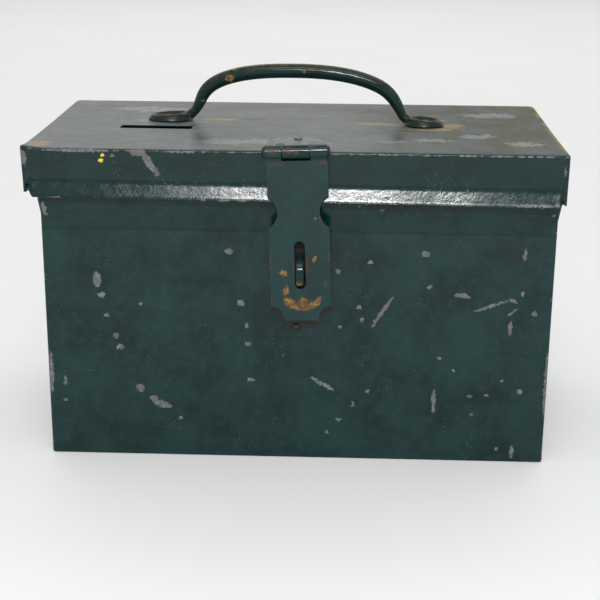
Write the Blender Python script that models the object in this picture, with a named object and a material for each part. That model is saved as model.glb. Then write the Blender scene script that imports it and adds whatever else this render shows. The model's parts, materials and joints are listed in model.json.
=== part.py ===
"""Painted sheet-steel donation box with a hinged lid, a bail-shaped fixed handle and a hasp.

Frame: metres, +Z up, +X to the right, the hasp faces -Y.
The origin is the centre of the bottom pan's underside, on the surface the box stands on.
"""
import math

import bmesh
import bpy
from mathutils import Matrix, Vector

MM = 0.001

# --- driving dimensions -------------------------------------------------------------------
SHEET = 0.9 * MM                 # folded sheet of the body and the lid
GAP = 0.3 * MM                   # air left between pieces that touch

BODY_HALF_WIDTH = 176.0 * MM
BODY_HALF_DEPTH = 94.5 * MM
BODY_RIM = 222.6 * MM            # top edge of the body, just under the lid
BODY_CORNER = 2.5 * MM           # bend radius of the upright corners
BODY_FOOT_ROLL = 1.5 * MM        # bend radius of the bottom edge
FLARE_START = 168.0 * MM         # crease where the walls begin to lean outwards
FLARE_END = 187.0 * MM
FLARE_OUT = 1.8 * MM
FLARE_CORNER_RISE = 9.0 * MM     # how far the crease climbs as it meets a corner
FLARE_CORNER_RUN = 6.0 * MM
REAR_FLANGE = 15.0 * MM          # the wrapper's ends, folded in behind the back panel

PAN_FLANGE = 20.0 * MM
PAN_CORNER = 2.0 * MM

LID_LEFT = -186.4 * MM
LID_RIGHT = 179.6 * MM
LID_FRONT = -101.5 * MM
LID_BACK = 98.0 * MM
LID_TOP = 223.9 * MM
LID_FOLD = 1.8 * MM              # bend radius round the top
LID_FRONT_CORNER = 3.0 * MM
LID_REAR_CORNER = 7.0 * MM
LID_SKIRT = 193.6 * MM           # lower edge of the side and rear skirts
LIP_START = 205.0 * MM           # where the front skirt begins to turn out as a finger lip
LIP_SLOPE = math.radians(25.0)
LIP_OUT = 4.1 * MM
LIP_FADE_LEFT = 7.5 * MM         # the lip dies away over this length at each front corner
LIP_FADE_RIGHT = 5.0 * MM

SLOT_X = (-132.0 * MM, -80.0 * MM)
SLOT_Y = (-21.0 * MM, -11.0 * MM)

HANDLE_CENTRE = Vector((-3.0 * MM, 9.5 * MM, 0.0))
HANDLE_SKEW = math.radians(-3.0)
HANDLE_HALF_SPAN = 77.2 * MM     # arch centre line, measured where it turns into the feet
HANDLE_BASE = 228.0 * MM
HANDLE_CROWN = 262.3 * MM
HANDLE_POWERS = (2.6, 2.25)      # left and right of the crown; 2 would be an ellipse, more is squarer
HANDLE_LEANS = (1.7 * MM, 2.5 * MM)    # how far the left and right legs lean in towards their feet
HANDLE_GRIP_RADIUS = 5.3 * MM
HANDLE_NECK_RADIUS = 3.0 * MM
FOOT_CENTRES = (-96.7 * MM, 92.4 * MM)
FOOT_HALF_LENGTHS = (16.8 * MM, 14.6 * MM)
FOOT_HALF_WIDTH = 12.0 * MM
FOOT_HEIGHT = 5.2 * MM
FOOT_DISH = 2.0 * MM

HASP_TILT = math.radians(-2.1)   # the whole hasp sits a little crooked
HASP_PIN = Vector((-1.2 * MM, -106.5 * MM, 225.0 * MM))
HASP_SHEET = 1.8 * MM
HASP_KNUCKLE = 4.65 * MM
HASP_BORE = 2.85 * MM
HASP_PIN_RADIUS = 2.6 * MM
HASP_BARREL = 41.0 * MM
HASP_CENTRE_KNUCKLE = (-9.2 * MM, 9.2 * MM)
KNUCKLE_GAP = 0.4 * MM
STRAP_HALF_WIDTH = 20.5 * MM
STRAP_OFFSET = 0.6 * MM          # strap centre line against the barrel's middle
STRAP_BOTTOM = -116.8 * MM
STRAP_SETBACK = -0.6 * MM        # middle of the strap's thickness, forward of the pin
STRAP_WINDOW = -5.8 * MM         # upper edge of the strap below the middle knuckle
NOTCH_CENTRE = -40.7 * MM
NOTCH_HALF_HEIGHT = 11.0 * MM
NOTCH_DEPTH = 6.3 * MM
CORNER_CLIP = (9.0 * MM, 10.5 * MM)
STRAP_SLOT_CENTRE = -77.5 * MM
STRAP_SLOT_LENGTH = 33.4 * MM
STRAP_SLOT_WIDTH = 7.4 * MM
LEAF_HALF_WIDTH = 20.5 * MM
LEAF_STRAIGHT = 20.0 * MM        # length of the leaf's straight sides behind the pin
LEAF_LENGTH = 53.0 * MM
LEAF_NOTCH = 8.0 * MM            # the leaf stays this far behind the pin beside its knuckle

STAPLE_SEAT = Vector((2.4 * MM, -BODY_HALF_DEPTH, 143.4 * MM))
STAPLE_WIDTH = 5.4 * MM
STAPLE_BAR = 4.2 * MM
STAPLE_RADIUS = 9.9 * MM
STAPLE_REACH = 23.5 * MM         # crown, forward of the body's front wall
PLATE_SHEET = 1.5 * MM
PLATE_HALF_WIDTH = 20.5 * MM
PLATE_LOW = -43.6 * MM
PLATE_HIGH = 22.5 * MM
PLATE_EAR = 3.1 * MM             # half-round ear with the lowest rivet
PLATE_EAR_X = -4.5 * MM

HINGE_X = (-105.0 * MM, 98.0 * MM)
HINGE_HALF_WIDTH = 24.0 * MM
HINGE_SHEET = 1.2 * MM
HINGE_KNUCKLE = 2.95 * MM
HINGE_BORE = 1.75 * MM
HINGE_PIN_RADIUS = 1.5 * MM
HINGE_AXIS_Y = LID_BACK + GAP + HINGE_KNUCKLE
HINGE_AXIS_Z = 190.0 * MM
HINGE_MIDDLE = 8.0 * MM          # half length of the lid leaf's knuckle
HINGE_LEAF_TOP = 215.0 * MM
HINGE_LEAF_BOTTOM = 150.0 * MM
HINGE_RIVET_X = 15.0 * MM

RIVET_SHANK = 1.6 * MM
RIVET_TAIL = 2.6 * MM
RIVET_TAIL_HEIGHT = 1.0 * MM
RIVET_SEGMENTS = 10

LID_PIVOT = Vector((0.0, HINGE_AXIS_Y, HINGE_AXIS_Z))
UP = Vector((0.0, 0.0, 1.0))
FORWARD = Vector((0.0, -1.0, 0.0))
REARWARD = Vector((0.0, 1.0, 0.0))


# --- scene helpers ------------------------------------------------------------------------
def clear_scene():
    for old in list(bpy.data.objects):
        bpy.data.objects.remove(old, do_unlink=True)


def make_material(name, colour, roughness, metallic):
    material = bpy.data.materials.new(name)
    material.use_nodes = True
    shader = material.node_tree.nodes["Principled BSDF"]
    shader.inputs["Base Color"].default_value = (*colour, 1.0)
    shader.inputs["Roughness"].default_value = roughness
    shader.inputs["Metallic"].default_value = metallic
    material.diffuse_color = (*colour, 1.0)
    return material


def add_empty(name, location, tilt=0.0, parent=None):
    empty = bpy.data.objects.new(name, None)
    bpy.context.collection.objects.link(empty)
    empty.location = location
    empty.rotation_euler = (0.0, tilt, 0.0)
    empty.parent = parent
    return empty


def add_object(name, bm, material, parent=None, location=(0.0, 0.0, 0.0), smooth_angle=40.0):
    bmesh.ops.recalc_face_normals(bm, faces=bm.faces)
    mesh = bpy.data.meshes.new(name)
    bm.to_mesh(mesh)
    bm.free()
    mesh.shade_smooth()
    mesh.set_sharp_from_angle(angle=math.radians(smooth_angle))
    obj = bpy.data.objects.new(name, mesh)
    bpy.context.collection.objects.link(obj)
    obj.parent = parent
    obj.location = location
    if material is not None:
        mesh.materials.append(material)
    return obj


def add_tool(name, bm, parent=None, location=(0.0, 0.0, 0.0)):
    """A helper solid for a Boolean, left out of the finished box."""
    tool = add_object(name, bm, None, parent, location)
    tool.hide_render = True
    tool.display_type = "WIRE"
    return tool


def boolean(target, tool, operation):
    modifier = target.modifiers.new(tool.name, "BOOLEAN")
    modifier.object = tool
    modifier.operation = operation
    modifier.solver = "EXACT"


def bevel(obj, width, segments=1, angle=50.0):
    modifier = obj.modifiers.new("edges", "BEVEL")
    modifier.width = width
    modifier.segments = segments
    modifier.limit_method = "ANGLE"
    modifier.angle_limit = math.radians(angle)


def on_lid(obj):
    """Hang a piece that is modelled in the box's frame from the lid's pivot."""
    obj.parent = LID
    obj.location = Vector(obj.location) - LID_PIVOT


# --- shape helpers ------------------------------------------------------------------------
def arc(centre, radius, start, end, steps):
    """Points of an arc in a plane, angles in degrees, both ends included."""
    points = []
    for i in range(steps + 1):
        a = math.radians(start + (end - start) * i / steps)
        points.append((centre[0] + radius[0] * math.cos(a), centre[1] + radius[1] * math.sin(a)))
    return points


def prism(bm, outline, low, high, axis):
    """Extrude a plane outline along an axis: its points are (x, z) for Y, (x, y) for Z, (y, z) for X."""
    place = {
        "X": lambda u, v, w: (w, u, v),
        "Y": lambda u, v, w: (u, w, v),
        "Z": lambda u, v, w: (u, v, w),
    }[axis]
    near = [bm.verts.new(place(u, v, low)) for u, v in outline]
    far = [bm.verts.new(place(u, v, high)) for u, v in outline]
    bm.faces.new(near)
    bm.faces.new(list(reversed(far)))
    count = len(outline)
    for i in range(count):
        j = (i + 1) % count
        bm.faces.new((near[j], near[i], far[i], far[j]))


def tube(bm, start, end, outer, inner, segments=18):
    """A plain ring-shaped barrel along X."""
    rings = []
    for x, radius in ((start, outer), (end, outer), (end, inner), (start, inner)):
        ring = []
        for y, z in arc((0.0, 0.0), (radius, radius), 0.0, 360.0, segments)[:-1]:
            ring.append(bm.verts.new((x, y, z)))
        rings.append(ring)
    for a, b in zip(rings, rings[1:] + rings[:1]):
        for i in range(segments):
            j = (i + 1) % segments
            bm.faces.new((a[i], a[j], b[j], b[i]))


def lathe(bm, profile, segments, matrix):
    """Turn a closed profile of (radius, height) round Z; it starts and ends on the axis."""
    first = bm.verts.new(matrix @ Vector((0.0, 0.0, profile[0][1])))
    last = bm.verts.new(matrix @ Vector((0.0, 0.0, profile[-1][1])))
    rings = []
    for radius, height in profile[1:-1]:
        ring = []
        for x, y in arc((0.0, 0.0), (radius, radius), 0.0, 360.0, segments)[:-1]:
            ring.append(bm.verts.new(matrix @ Vector((x, y, height))))
        rings.append(ring)
    for i in range(segments):
        j = (i + 1) % segments
        bm.faces.new((first, rings[0][i], rings[0][j]))
        bm.faces.new((rings[-1][i], last, rings[-1][j]))
        for a, b in zip(rings, rings[1:]):
            bm.faces.new((a[i], b[i], b[j], a[j]))


def rivet_mesh(name, material, grip, head, dome):
    """A domed rivet along +Z over a grip of sheet; its origin is the outer sheet's face."""
    profile = [(0.0, GAP + dome)]
    for i in (1, 2, 3):
        a = math.radians(30.0 * i)
        profile.append((head * math.sin(a), GAP + dome * math.cos(a)))
    tail = -grip - GAP
    profile += [(RIVET_SHANK, GAP), (RIVET_SHANK, tail), (RIVET_TAIL, tail)]
    profile += [(RIVET_TAIL * 0.8, tail - RIVET_TAIL_HEIGHT), (0.0, tail - RIVET_TAIL_HEIGHT)]
    bm = bmesh.new()
    lathe(bm, profile, RIVET_SEGMENTS, Matrix.Identity(4))
    return add_object(name, bm, material)


def add_rivets(prefix, places, direction, grip, material, head=2.8 * MM, dome=1.2 * MM, parent=None):
    """One object for each rivet, numbered from 1, all sharing a mesh."""
    turn = direction.to_track_quat("Z", "Y")
    first = rivet_mesh(prefix + "_1", material, grip, head, dome)
    rivets = [first]
    for number in range(2, len(places) + 1):
        copy = bpy.data.objects.new(f"{prefix}_{number}", first.data)
        bpy.context.collection.objects.link(copy)
        rivets.append(copy)
    for obj, place in zip(rivets, places):
        obj.location = place
        obj.rotation_euler = turn.to_euler()
        if parent == LID:
            on_lid(obj)
        else:
            obj.parent = parent


def hole(bm, place, direction, depth=12.0 * MM, radius=RIVET_SHANK + GAP):
    """A round punch for a rivet hole."""
    turn = direction.to_track_quat("Z", "Y").to_matrix().to_4x4()
    matrix = Matrix.Translation(place) @ turn
    profile = [(0.0, depth / 2), (radius, depth / 2), (radius, -depth / 2), (0.0, -depth / 2)]
    lathe(bm, profile, RIVET_SEGMENTS, matrix)


def skin(bm, rows, closed):
    """Join rows of points into a surface, each row running the same way round."""
    rings = [[bm.verts.new(point) for point in row] for row in rows]
    for a, b in zip(rings, rings[1:]):
        count = len(a)
        for i in range(count if closed else count - 1):
            j = (i + 1) % count
            bm.faces.new((a[i], a[j], b[j], b[i]))
    return rings


def thicken(obj, thickness):
    modifier = obj.modifiers.new("sheet", "SOLIDIFY")
    modifier.thickness = thickness
    modifier.offset = -1.0
    modifier.use_even_offset = True


# --- body ---------------------------------------------------------------------------------
def wall_path():
    """Plan of the wrapper's outer face: (x, y, outward x, outward y, distance to a front corner)."""
    w = BODY_HALF_WIDTH
    r = BODY_CORNER
    front = -BODY_HALF_DEPTH
    back = BODY_HALF_DEPTH - SHEET - GAP
    path = []

    def corner(cx, cy, start, end):
        for i in range(5):
            a = math.radians(start + (end - start) * i / 4)
            path.append((cx + r * math.cos(a), cy + r * math.sin(a), math.cos(a), math.sin(a), 0.0))

    def side_wall(x, nx, direction):
        """Points along a side wall: just off each corner, and halfway."""
        run = FLARE_CORNER_RUN
        stretch = [(front + r + run, run), (0.0, BODY_HALF_DEPTH), (back - r - run, run)]
        for y, d in stretch[::direction]:
            path.append((x, y, nx, 0.0, d))

    path.append((-w + REAR_FLANGE, back, 0.0, 1.0, 0.0))
    corner(-w + r, back - r, 90.0, 180.0)
    side_wall(-w, -1.0, -1)
    corner(-w + r, front + r, 180.0, 270.0)
    for x in (-w + r + FLARE_CORNER_RUN, -w / 2, w / 2, w - r - FLARE_CORNER_RUN):
        path.append((x, front, 0.0, -1.0, min(w - r - abs(x), FLARE_CORNER_RUN)))
    corner(w - r, front + r, 270.0, 360.0)
    side_wall(w, 1.0, 1)
    corner(w - r, back - r, 0.0, 90.0)
    path.append((w - REAR_FLANGE, back, 0.0, 1.0, 0.0))
    return path


def make_wrapper():
    """Front and both sides in one folded sheet, leaning out above the crease."""
    r = BODY_FOOT_ROLL
    levels = []
    for angle in (90.0, 60.0, 30.0, 0.0):
        a = math.radians(angle)
        levels.append((r - r * math.sin(a), -(r - r * math.cos(a)), 0.0))
    levels.append((FLARE_START - 1.0 * MM, 0.0, 1.0))
    levels.append((FLARE_START + 1.0 * MM, FLARE_OUT * 0.06, 1.0))
    levels.append((FLARE_END - 1.0 * MM, FLARE_OUT * 0.94, 0.0))
    levels.append((FLARE_END + 1.0 * MM, FLARE_OUT, 0.0))
    levels.append((BODY_RIM, FLARE_OUT, 0.0))
    rear = BODY_HALF_DEPTH - SHEET - GAP
    rows = []
    for z, out, climbs in levels:
        row = []
        for x, y, nx, ny, distance in wall_path():
            near = max(0.0, 1.0 - distance / FLARE_CORNER_RUN)
            rise = FLARE_CORNER_RISE * near * climbs
            lean = out if y < rear - BODY_CORNER - GAP else out * abs(nx)
            side = nx * lean
            deep = ny * lean if ny < 0.0 or out < 0.0 else 0.0
            row.append((x + side, y + deep, z + rise))
        rows.append(row)
    bm = bmesh.new()
    skin(bm, rows, closed=False)
    wrapper = add_object("body_wrapper", bm, ENAMEL, smooth_angle=30.0)
    thicken(wrapper, SHEET)
    boolean(wrapper, PLATE_PUNCH, "DIFFERENCE")
    return wrapper


def make_back_panel():
    """Flat back, lapped over the wrapper's rear flanges."""
    half = BODY_HALF_WIDTH - 2.0 * MM
    back = BODY_HALF_DEPTH
    bm = bmesh.new()
    outline = [(-half, 0.0), (half, 0.0), (half, BODY_RIM), (-half, BODY_RIM)]
    prism(bm, outline, back - SHEET, back, "Y")
    panel = add_object("back_panel", bm, ENAMEL)
    boolean(panel, HINGE_PUNCH, "DIFFERENCE")
    return panel


def make_bottom_pan():
    """Tray let in from below, its flanges turned up inside the walls."""
    side = BODY_HALF_WIDTH - BODY_FOOT_ROLL - GAP
    front = -BODY_HALF_DEPTH + BODY_FOOT_ROLL + GAP
    back = BODY_HALF_DEPTH - 2.0 * (SHEET + GAP) - GAP

    def rectangle(inset, z):
        left, right = -side + inset, side - inset
        low, high = front + inset, back - inset
        return [(left, low, z), (right, low, z), (right, high, z), (left, high, z)]

    r = PAN_CORNER
    rows = [rectangle(0.0, PAN_FLANGE), rectangle(0.0, r)]
    for angle in (30.0, 60.0):
        a = math.radians(angle)
        rows.append(rectangle(r - r * math.cos(a), r - r * math.sin(a)))
    rows.append(rectangle(r, 0.0))
    bm = bmesh.new()
    rings = skin(bm, rows, closed=True)
    bm.faces.new(list(reversed(rings[-1])))
    pan = add_object("bottom_pan", bm, ENAMEL, smooth_angle=35.0)
    thicken(pan, SHEET)
    return pan


# --- lid ----------------------------------------------------------------------------------
def lid_path():
    """Plan of the lid's outer face: (x, y, outward x, outward y, weight of the front lip)."""
    path = []

    def corner(cx, cy, r, start, steps):
        for i in range(steps + 1):
            a = math.radians(start + 90.0 * i / steps)
            path.append((cx + r * math.cos(a), cy + r * math.sin(a), math.cos(a), math.sin(a), 0.0))

    f = LID_FRONT_CORNER
    b = LID_REAR_CORNER
    corner(LID_LEFT + f, LID_FRONT + f, f, 180.0, 4)
    for share in (0.35, 0.7, 1.0):
        path.append((LID_LEFT + f + LIP_FADE_LEFT * share, LID_FRONT, 0.0, -1.0, share))
    for share in (1.0, 0.7, 0.35):
        path.append((LID_RIGHT - f - LIP_FADE_RIGHT * share, LID_FRONT, 0.0, -1.0, share))
    corner(LID_RIGHT - f, LID_FRONT + f, f, 270.0, 4)
    corner(LID_RIGHT - b, LID_BACK - b, b, 0.0, 6)
    corner(LID_LEFT + b, LID_BACK - b, b, 90.0, 6)
    return path


def lip_profile():
    """Height and outward reach of the finger lip below the plain skirt, at full size."""
    slope = math.tan(LIP_SLOPE)
    points = [(LIP_START, 0.0), (LIP_START - 1.4 * MM, 0.1 * MM), (LIP_START - 2.7 * MM, 0.42 * MM)]
    start = LIP_START - 3.8 * MM
    reach = 0.9 * MM
    fall = (LIP_OUT - 0.15 * MM - reach) / slope
    points += [(start, reach), (start - fall, LIP_OUT - 0.15 * MM)]
    points += [(start - fall - 0.9 * MM, LIP_OUT), (start - fall - 3.4 * MM, LIP_OUT - 0.2 * MM)]
    return points


def make_lid_shell():
    r = LID_FOLD
    rows = []
    for angle in (90.0, 67.5, 45.0, 22.5, 0.0):
        a = math.radians(angle)
        inset = r - r * math.cos(a)
        z = LID_TOP - r + r * math.sin(a)
        rows.append([(x - nx * inset, y - ny * inset, z) for x, y, nx, ny, _ in lid_path()])
    lip = lip_profile()
    for number, (z, out) in enumerate(lip):
        share = number / (len(lip) - 1)
        plain = LIP_START + (LID_SKIRT - LIP_START) * share
        row = []
        for x, y, nx, ny, weight in lid_path():
            row.append((x, y - out * weight, plain + (z - plain) * weight))
        rows.append(row)
    bm = bmesh.new()
    rings = skin(bm, rows, closed=True)
    bm.faces.new(rings[0])
    shell = add_object("lid_shell", bm, ENAMEL, smooth_angle=30.0)
    thicken(shell, SHEET)
    on_lid(shell)
    boolean(shell, LID_PUNCH, "DIFFERENCE")
    return shell


def make_lid_punch():
    """Coin slot, and the rivet holes of the hasp leaf, the handle and the hinges."""
    bm = bmesh.new()
    outline = [(x, y) for x, y in (
        (SLOT_X[0], SLOT_Y[0]), (SLOT_X[1], SLOT_Y[0]), (SLOT_X[1], SLOT_Y[1]), (SLOT_X[0], SLOT_Y[1]))]
    prism(bm, outline, LID_TOP - 6.0 * MM, LID_TOP + 6.0 * MM, "Z")
    for place in leaf_rivet_places() + foot_places():
        hole(bm, Vector((place.x, place.y, LID_TOP)), UP, 6.0 * MM)
    for place in hinge_rivet_places("lid"):
        hole(bm, place, REARWARD, 6.0 * MM)
    punch = add_tool("lid_punch", bm)
    on_lid(punch)
    return punch


# --- handle -------------------------------------------------------------------------------
def handle_frame():
    return Matrix.Translation(HANDLE_CENTRE) @ Matrix.Rotation(HANDLE_SKEW, 4, "Z")


def foot_places():
    return [handle_frame() @ Vector((x, 0.0, LID_TOP + GAP)) for x in FOOT_CENTRES]


def handle_line():
    """Centre line and radius of the grip, from foot to foot, as (x, z, radius)."""
    rise = HANDLE_CROWN - HANDLE_BASE
    steps = 12
    halves = []
    for side, power, lean in zip((-1.0, 1.0), HANDLE_POWERS, HANDLE_LEANS):
        root = HANDLE_HALF_SPAN - lean
        half = [(side * (root + 8.5 * MM), LID_TOP + GAP + 2.6 * MM, 2.2 * MM)]
        half.append((side * (root + 3.5 * MM), LID_TOP + GAP + 3.0 * MM, 2.6 * MM))
        for i in range(steps + 1):
            a = math.pi / 2 * i / steps
            height = math.sin(a) ** (2.0 / power)
            fade = min(1.0, max(0.0, (0.8 - height) / 0.45))
            x = HANDLE_HALF_SPAN * math.cos(a) ** (2.0 / power) - lean * fade * fade * (3.0 - 2.0 * fade)
            swell = height * (2.0 - height)
            radius = HANDLE_NECK_RADIUS + (HANDLE_GRIP_RADIUS - HANDLE_NECK_RADIUS) * swell
            half.append((side * x, HANDLE_BASE + rise * height, radius))
        halves.append(half)
    left, right = halves
    return left + right[-2::-1]


def sweep(bm, line, sides):
    """A round bar of changing radius along a line in the XZ plane."""
    rings = []
    for i, (x, z, radius) in enumerate(line):
        before = line[max(0, i - 1)]
        after = line[min(len(line) - 1, i + 1)]
        along = Vector((after[0] - before[0], 0.0, after[1] - before[1])).normalized()
        across = Vector((0.0, 1.0, 0.0))
        up = along.cross(across)
        ring = []
        for u, v in arc((0.0, 0.0), (radius, radius), 0.0, 360.0, sides)[:-1]:
            ring.append(bm.verts.new(Vector((x, 0.0, z)) + across * u + up * v))
        rings.append(ring)
    for a, b in zip(rings, rings[1:]):
        for i in range(sides):
            j = (i + 1) % sides
            bm.faces.new((a[i], a[j], b[j], b[i]))
    bm.faces.new(list(reversed(rings[0])))
    bm.faces.new(rings[-1])


def dished_foot(bm, centre_x, half_length):
    """An oval foot with a raised rim round a dish."""
    profile = [(0.0, FOOT_DISH), (0.5, FOOT_DISH), (0.64, FOOT_HEIGHT * 0.72), (0.75, FOOT_HEIGHT)]
    profile += [(0.86, FOOT_HEIGHT * 0.88), (0.95, FOOT_HEIGHT * 0.52), (1.0, FOOT_HEIGHT * 0.2)]
    profile += [(0.98, 0.0), (0.0, 0.0)]
    scale = Matrix.Diagonal((half_length, FOOT_HALF_WIDTH, 1.0, 1.0))
    lathe(bm, profile, 24, Matrix.Translation((centre_x, 0.0, LID_TOP + GAP)) @ scale)


def make_handle():
    bm = bmesh.new()
    sweep(bm, handle_line(), 12)
    bm.transform(handle_frame())
    handle = add_object("handle", bm, ENAMEL, smooth_angle=60.0)
    on_lid(handle)
    for name, centre, half_length in zip(("foot_left", "foot_right"), FOOT_CENTRES, FOOT_HALF_LENGTHS):
        bm = bmesh.new()
        dished_foot(bm, centre, half_length)
        bm.transform(handle_frame())
        foot = add_tool(name, bm)
        on_lid(foot)
        boolean(handle, foot, "UNION")
    bm = bmesh.new()
    for place in foot_places():
        hole(bm, place, UP, 14.0 * MM)
    punch = add_tool("handle_punch", bm)
    on_lid(punch)
    boolean(handle, punch, "DIFFERENCE")
    return handle


def make_handle_rivets():
    places = [Vector((place.x, place.y, LID_TOP + GAP + FOOT_DISH)) for place in foot_places()]
    add_rivets("handle_rivet", places, UP, FOOT_DISH + GAP + SHEET, ENAMEL, 3.6 * MM, 1.3 * MM, LID)


# --- hasp ---------------------------------------------------------------------------------
def leaf_rivet_places():
    """Over the lid, in the box's frame; z is the leaf's upper face."""
    top = LID_TOP + GAP + HASP_SHEET
    x, y = HASP_PIN.x, HASP_PIN.y
    spots = ((-11.0 * MM, 18.0 * MM), (11.0 * MM, 18.0 * MM), (0.0, 40.0 * MM))
    return [Vector((x + dx, y + dy, top)) for dx, dy in spots]


def make_hasp_leaf():
    """Fixed leaf on the lid: a rounded tongue of thick sheet with the middle knuckle."""
    x, y = HASP_PIN.x, HASP_PIN.y
    half = LEAF_HALF_WIDTH
    inner = HASP_CENTRE_KNUCKLE[1] - KNUCKLE_GAP
    wall = (HASP_KNUCKLE + HASP_BORE) / 2
    outline = [(-inner, wall), (inner, wall), (inner, LEAF_NOTCH), (half, LEAF_NOTCH)]
    outline += arc((0.0, LEAF_STRAIGHT), (half, LEAF_LENGTH - LEAF_STRAIGHT), 0.0, 180.0, 18)
    outline += [(-half, LEAF_NOTCH), (-inner, LEAF_NOTCH)]
    bm = bmesh.new()
    low = LID_TOP + GAP
    prism(bm, [(x + u, y + v) for u, v in outline], low, low + HASP_SHEET, "Z")
    leaf = add_object("hasp_leaf", bm, WORN_ENAMEL)
    on_lid(leaf)
    bm = bmesh.new()
    tube(bm, -inner, inner, HASP_KNUCKLE, HASP_BORE)
    boolean(leaf, add_tool("leaf_knuckle", bm, HASP_SEAT), "UNION")
    bm = bmesh.new()
    for place in leaf_rivet_places():
        hole(bm, place, UP, 8.0 * MM)
    punch = add_tool("leaf_punch", bm)
    on_lid(punch)
    boolean(leaf, punch, "DIFFERENCE")
    return leaf


def make_leaf_rivets():
    grip = HASP_SHEET + GAP + SHEET
    add_rivets("hasp_leaf_rivet", leaf_rivet_places(), UP, grip, WORN_ENAMEL, 3.2 * MM, 1.4 * MM, LID)


def make_hasp_pin():
    half = HASP_BARREL / 2 + GAP
    r = HASP_PIN_RADIUS
    head = HASP_KNUCKLE * 0.86
    dome = 2.0 * MM
    end = [(0.0, half + dome), (head * 0.5, half + dome * 0.87)]
    end += [(head * 0.87, half + dome * 0.5), (head, half)]
    profile = end + [(r, half), (r, -half)] + [(radius, -height) for radius, height in reversed(end)]
    bm = bmesh.new()
    lathe(bm, profile, 16, Matrix.Rotation(math.pi / 2, 4, "Y"))
    add_object("hasp_pin", bm, PIN_STEEL, HASP_SEAT)


def strap_outline():
    """Front view of the strap below the knuckles, in the hasp's own frame."""
    w = STRAP_HALF_WIDTH
    low = STRAP_BOTTOM
    clip_x, clip_z = CORNER_CLIP
    wall = -(HASP_KNUCKLE + HASP_BORE) / 2
    half = HASP_BARREL / 2
    window = HASP_CENTRE_KNUCKLE[1] + KNUCKLE_GAP
    radius = (NOTCH_HALF_HEIGHT ** 2 + NOTCH_DEPTH ** 2) / (2 * NOTCH_DEPTH)
    spread = math.degrees(math.asin(NOTCH_HALF_HEIGHT / radius))
    centre = w - NOTCH_DEPTH + radius
    right = [(half - STRAP_OFFSET, wall), (half - STRAP_OFFSET, -HASP_KNUCKLE - 1.0 * MM)]
    right.append((w, -HASP_KNUCKLE - 3.0 * MM))
    right += arc((centre, NOTCH_CENTRE), (radius, radius), 180.0 - spread, 180.0 + spread, 10)
    right += arc((w, low), (clip_x, clip_z), 90.0, 180.0, 6)
    left = [(-u, v) for u, v in reversed(right)]
    left[-2] = (-half - STRAP_OFFSET, left[-2][1])
    left[-1] = (-half - STRAP_OFFSET, left[-1][1])
    top = [(-window - STRAP_OFFSET, wall), (-window - STRAP_OFFSET, STRAP_WINDOW)]
    top += [(window - STRAP_OFFSET, STRAP_WINDOW), (window - STRAP_OFFSET, wall)]
    return [(u + STRAP_OFFSET, v) for u, v in right + left + top]


def stadium(centre_x, centre_z, length, width):
    r = width / 2
    reach = length / 2 - r
    points = arc((centre_x, centre_z + reach), (r, r), 0.0, 180.0, 8)
    return points + arc((centre_x, centre_z - reach), (r, r), 180.0, 360.0, 8)


def make_hasp_strap():
    middle = STRAP_SETBACK
    bm = bmesh.new()
    prism(bm, strap_outline(), middle - HASP_SHEET / 2, middle + HASP_SHEET / 2, "Y")
    strap = add_object("hasp_strap", bm, WORN_ENAMEL, HASP_PIVOT)
    half = HASP_BARREL / 2
    inner = HASP_CENTRE_KNUCKLE[1]
    bm = bmesh.new()
    tube(bm, -half, -inner, HASP_KNUCKLE, HASP_BORE)
    tube(bm, inner, half, HASP_KNUCKLE, HASP_BORE)
    boolean(strap, add_tool("strap_knuckles", bm, HASP_PIVOT), "UNION")
    bm = bmesh.new()
    outline = stadium(STRAP_OFFSET, STRAP_SLOT_CENTRE, STRAP_SLOT_LENGTH, STRAP_SLOT_WIDTH)
    prism(bm, outline, -5.0 * MM, 5.0 * MM, "Y")
    boolean(strap, add_tool("strap_slot", bm, HASP_PIVOT), "DIFFERENCE")
    return strap


# --- staple -------------------------------------------------------------------------------
def plate_rivet_places():
    """On the plate's front face, in the staple's own frame."""
    front = -GAP - PLATE_SHEET
    spots = ((PLATE_EAR_X, PLATE_LOW), (-13.0 * MM, -12.0 * MM), (13.0 * MM, -12.0 * MM), (0.0, 19.3 * MM))
    return [Vector((x, front, z)) for x, z in spots]


def make_plate_punch():
    """Rivet holes and the two square holes of the staple's legs, through plate and wall."""
    bm = bmesh.new()
    for place in plate_rivet_places():
        hole(bm, place, REARWARD, 10.0 * MM)
    half = STAPLE_WIDTH / 2 + GAP
    inner = STAPLE_RADIUS - STAPLE_BAR
    for low, high in ((inner, STAPLE_RADIUS), (-STAPLE_RADIUS, -inner)):
        outline = [(-half, low - GAP), (half, low - GAP), (half, high + GAP), (-half, high + GAP)]
        prism(bm, outline, -5.0 * MM, 5.0 * MM, "Y")
    return add_tool("plate_punch", bm, STAPLE_FRAME)


def make_staple_plate():
    w = PLATE_HALF_WIDTH
    clip_x, clip_z = CORNER_CLIP
    outline = arc((w, PLATE_HIGH), (clip_x, clip_z), 180.0, 270.0, 6)
    outline += arc((w, PLATE_LOW), (clip_x, clip_z), 90.0, 180.0, 6)
    outline += arc((PLATE_EAR_X, PLATE_LOW), (PLATE_EAR, PLATE_EAR), 0.0, -180.0, 10)
    outline += arc((-w, PLATE_LOW), (clip_x, clip_z), 0.0, 90.0, 6)
    outline += arc((-w, PLATE_HIGH), (clip_x, clip_z), 270.0, 360.0, 6)
    bm = bmesh.new()
    prism(bm, outline, -GAP - PLATE_SHEET, -GAP, "Y")
    plate = add_object("staple_plate", bm, BROWN_STEEL, STAPLE_FRAME)
    boolean(plate, PLATE_PUNCH, "DIFFERENCE")
    return plate


def make_plate_rivets():
    grip = PLATE_SHEET + GAP + SHEET
    add_rivets("staple_plate_rivet", plate_rivet_places(), FORWARD, grip, BROWN_STEEL, parent=STAPLE_FRAME)


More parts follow.
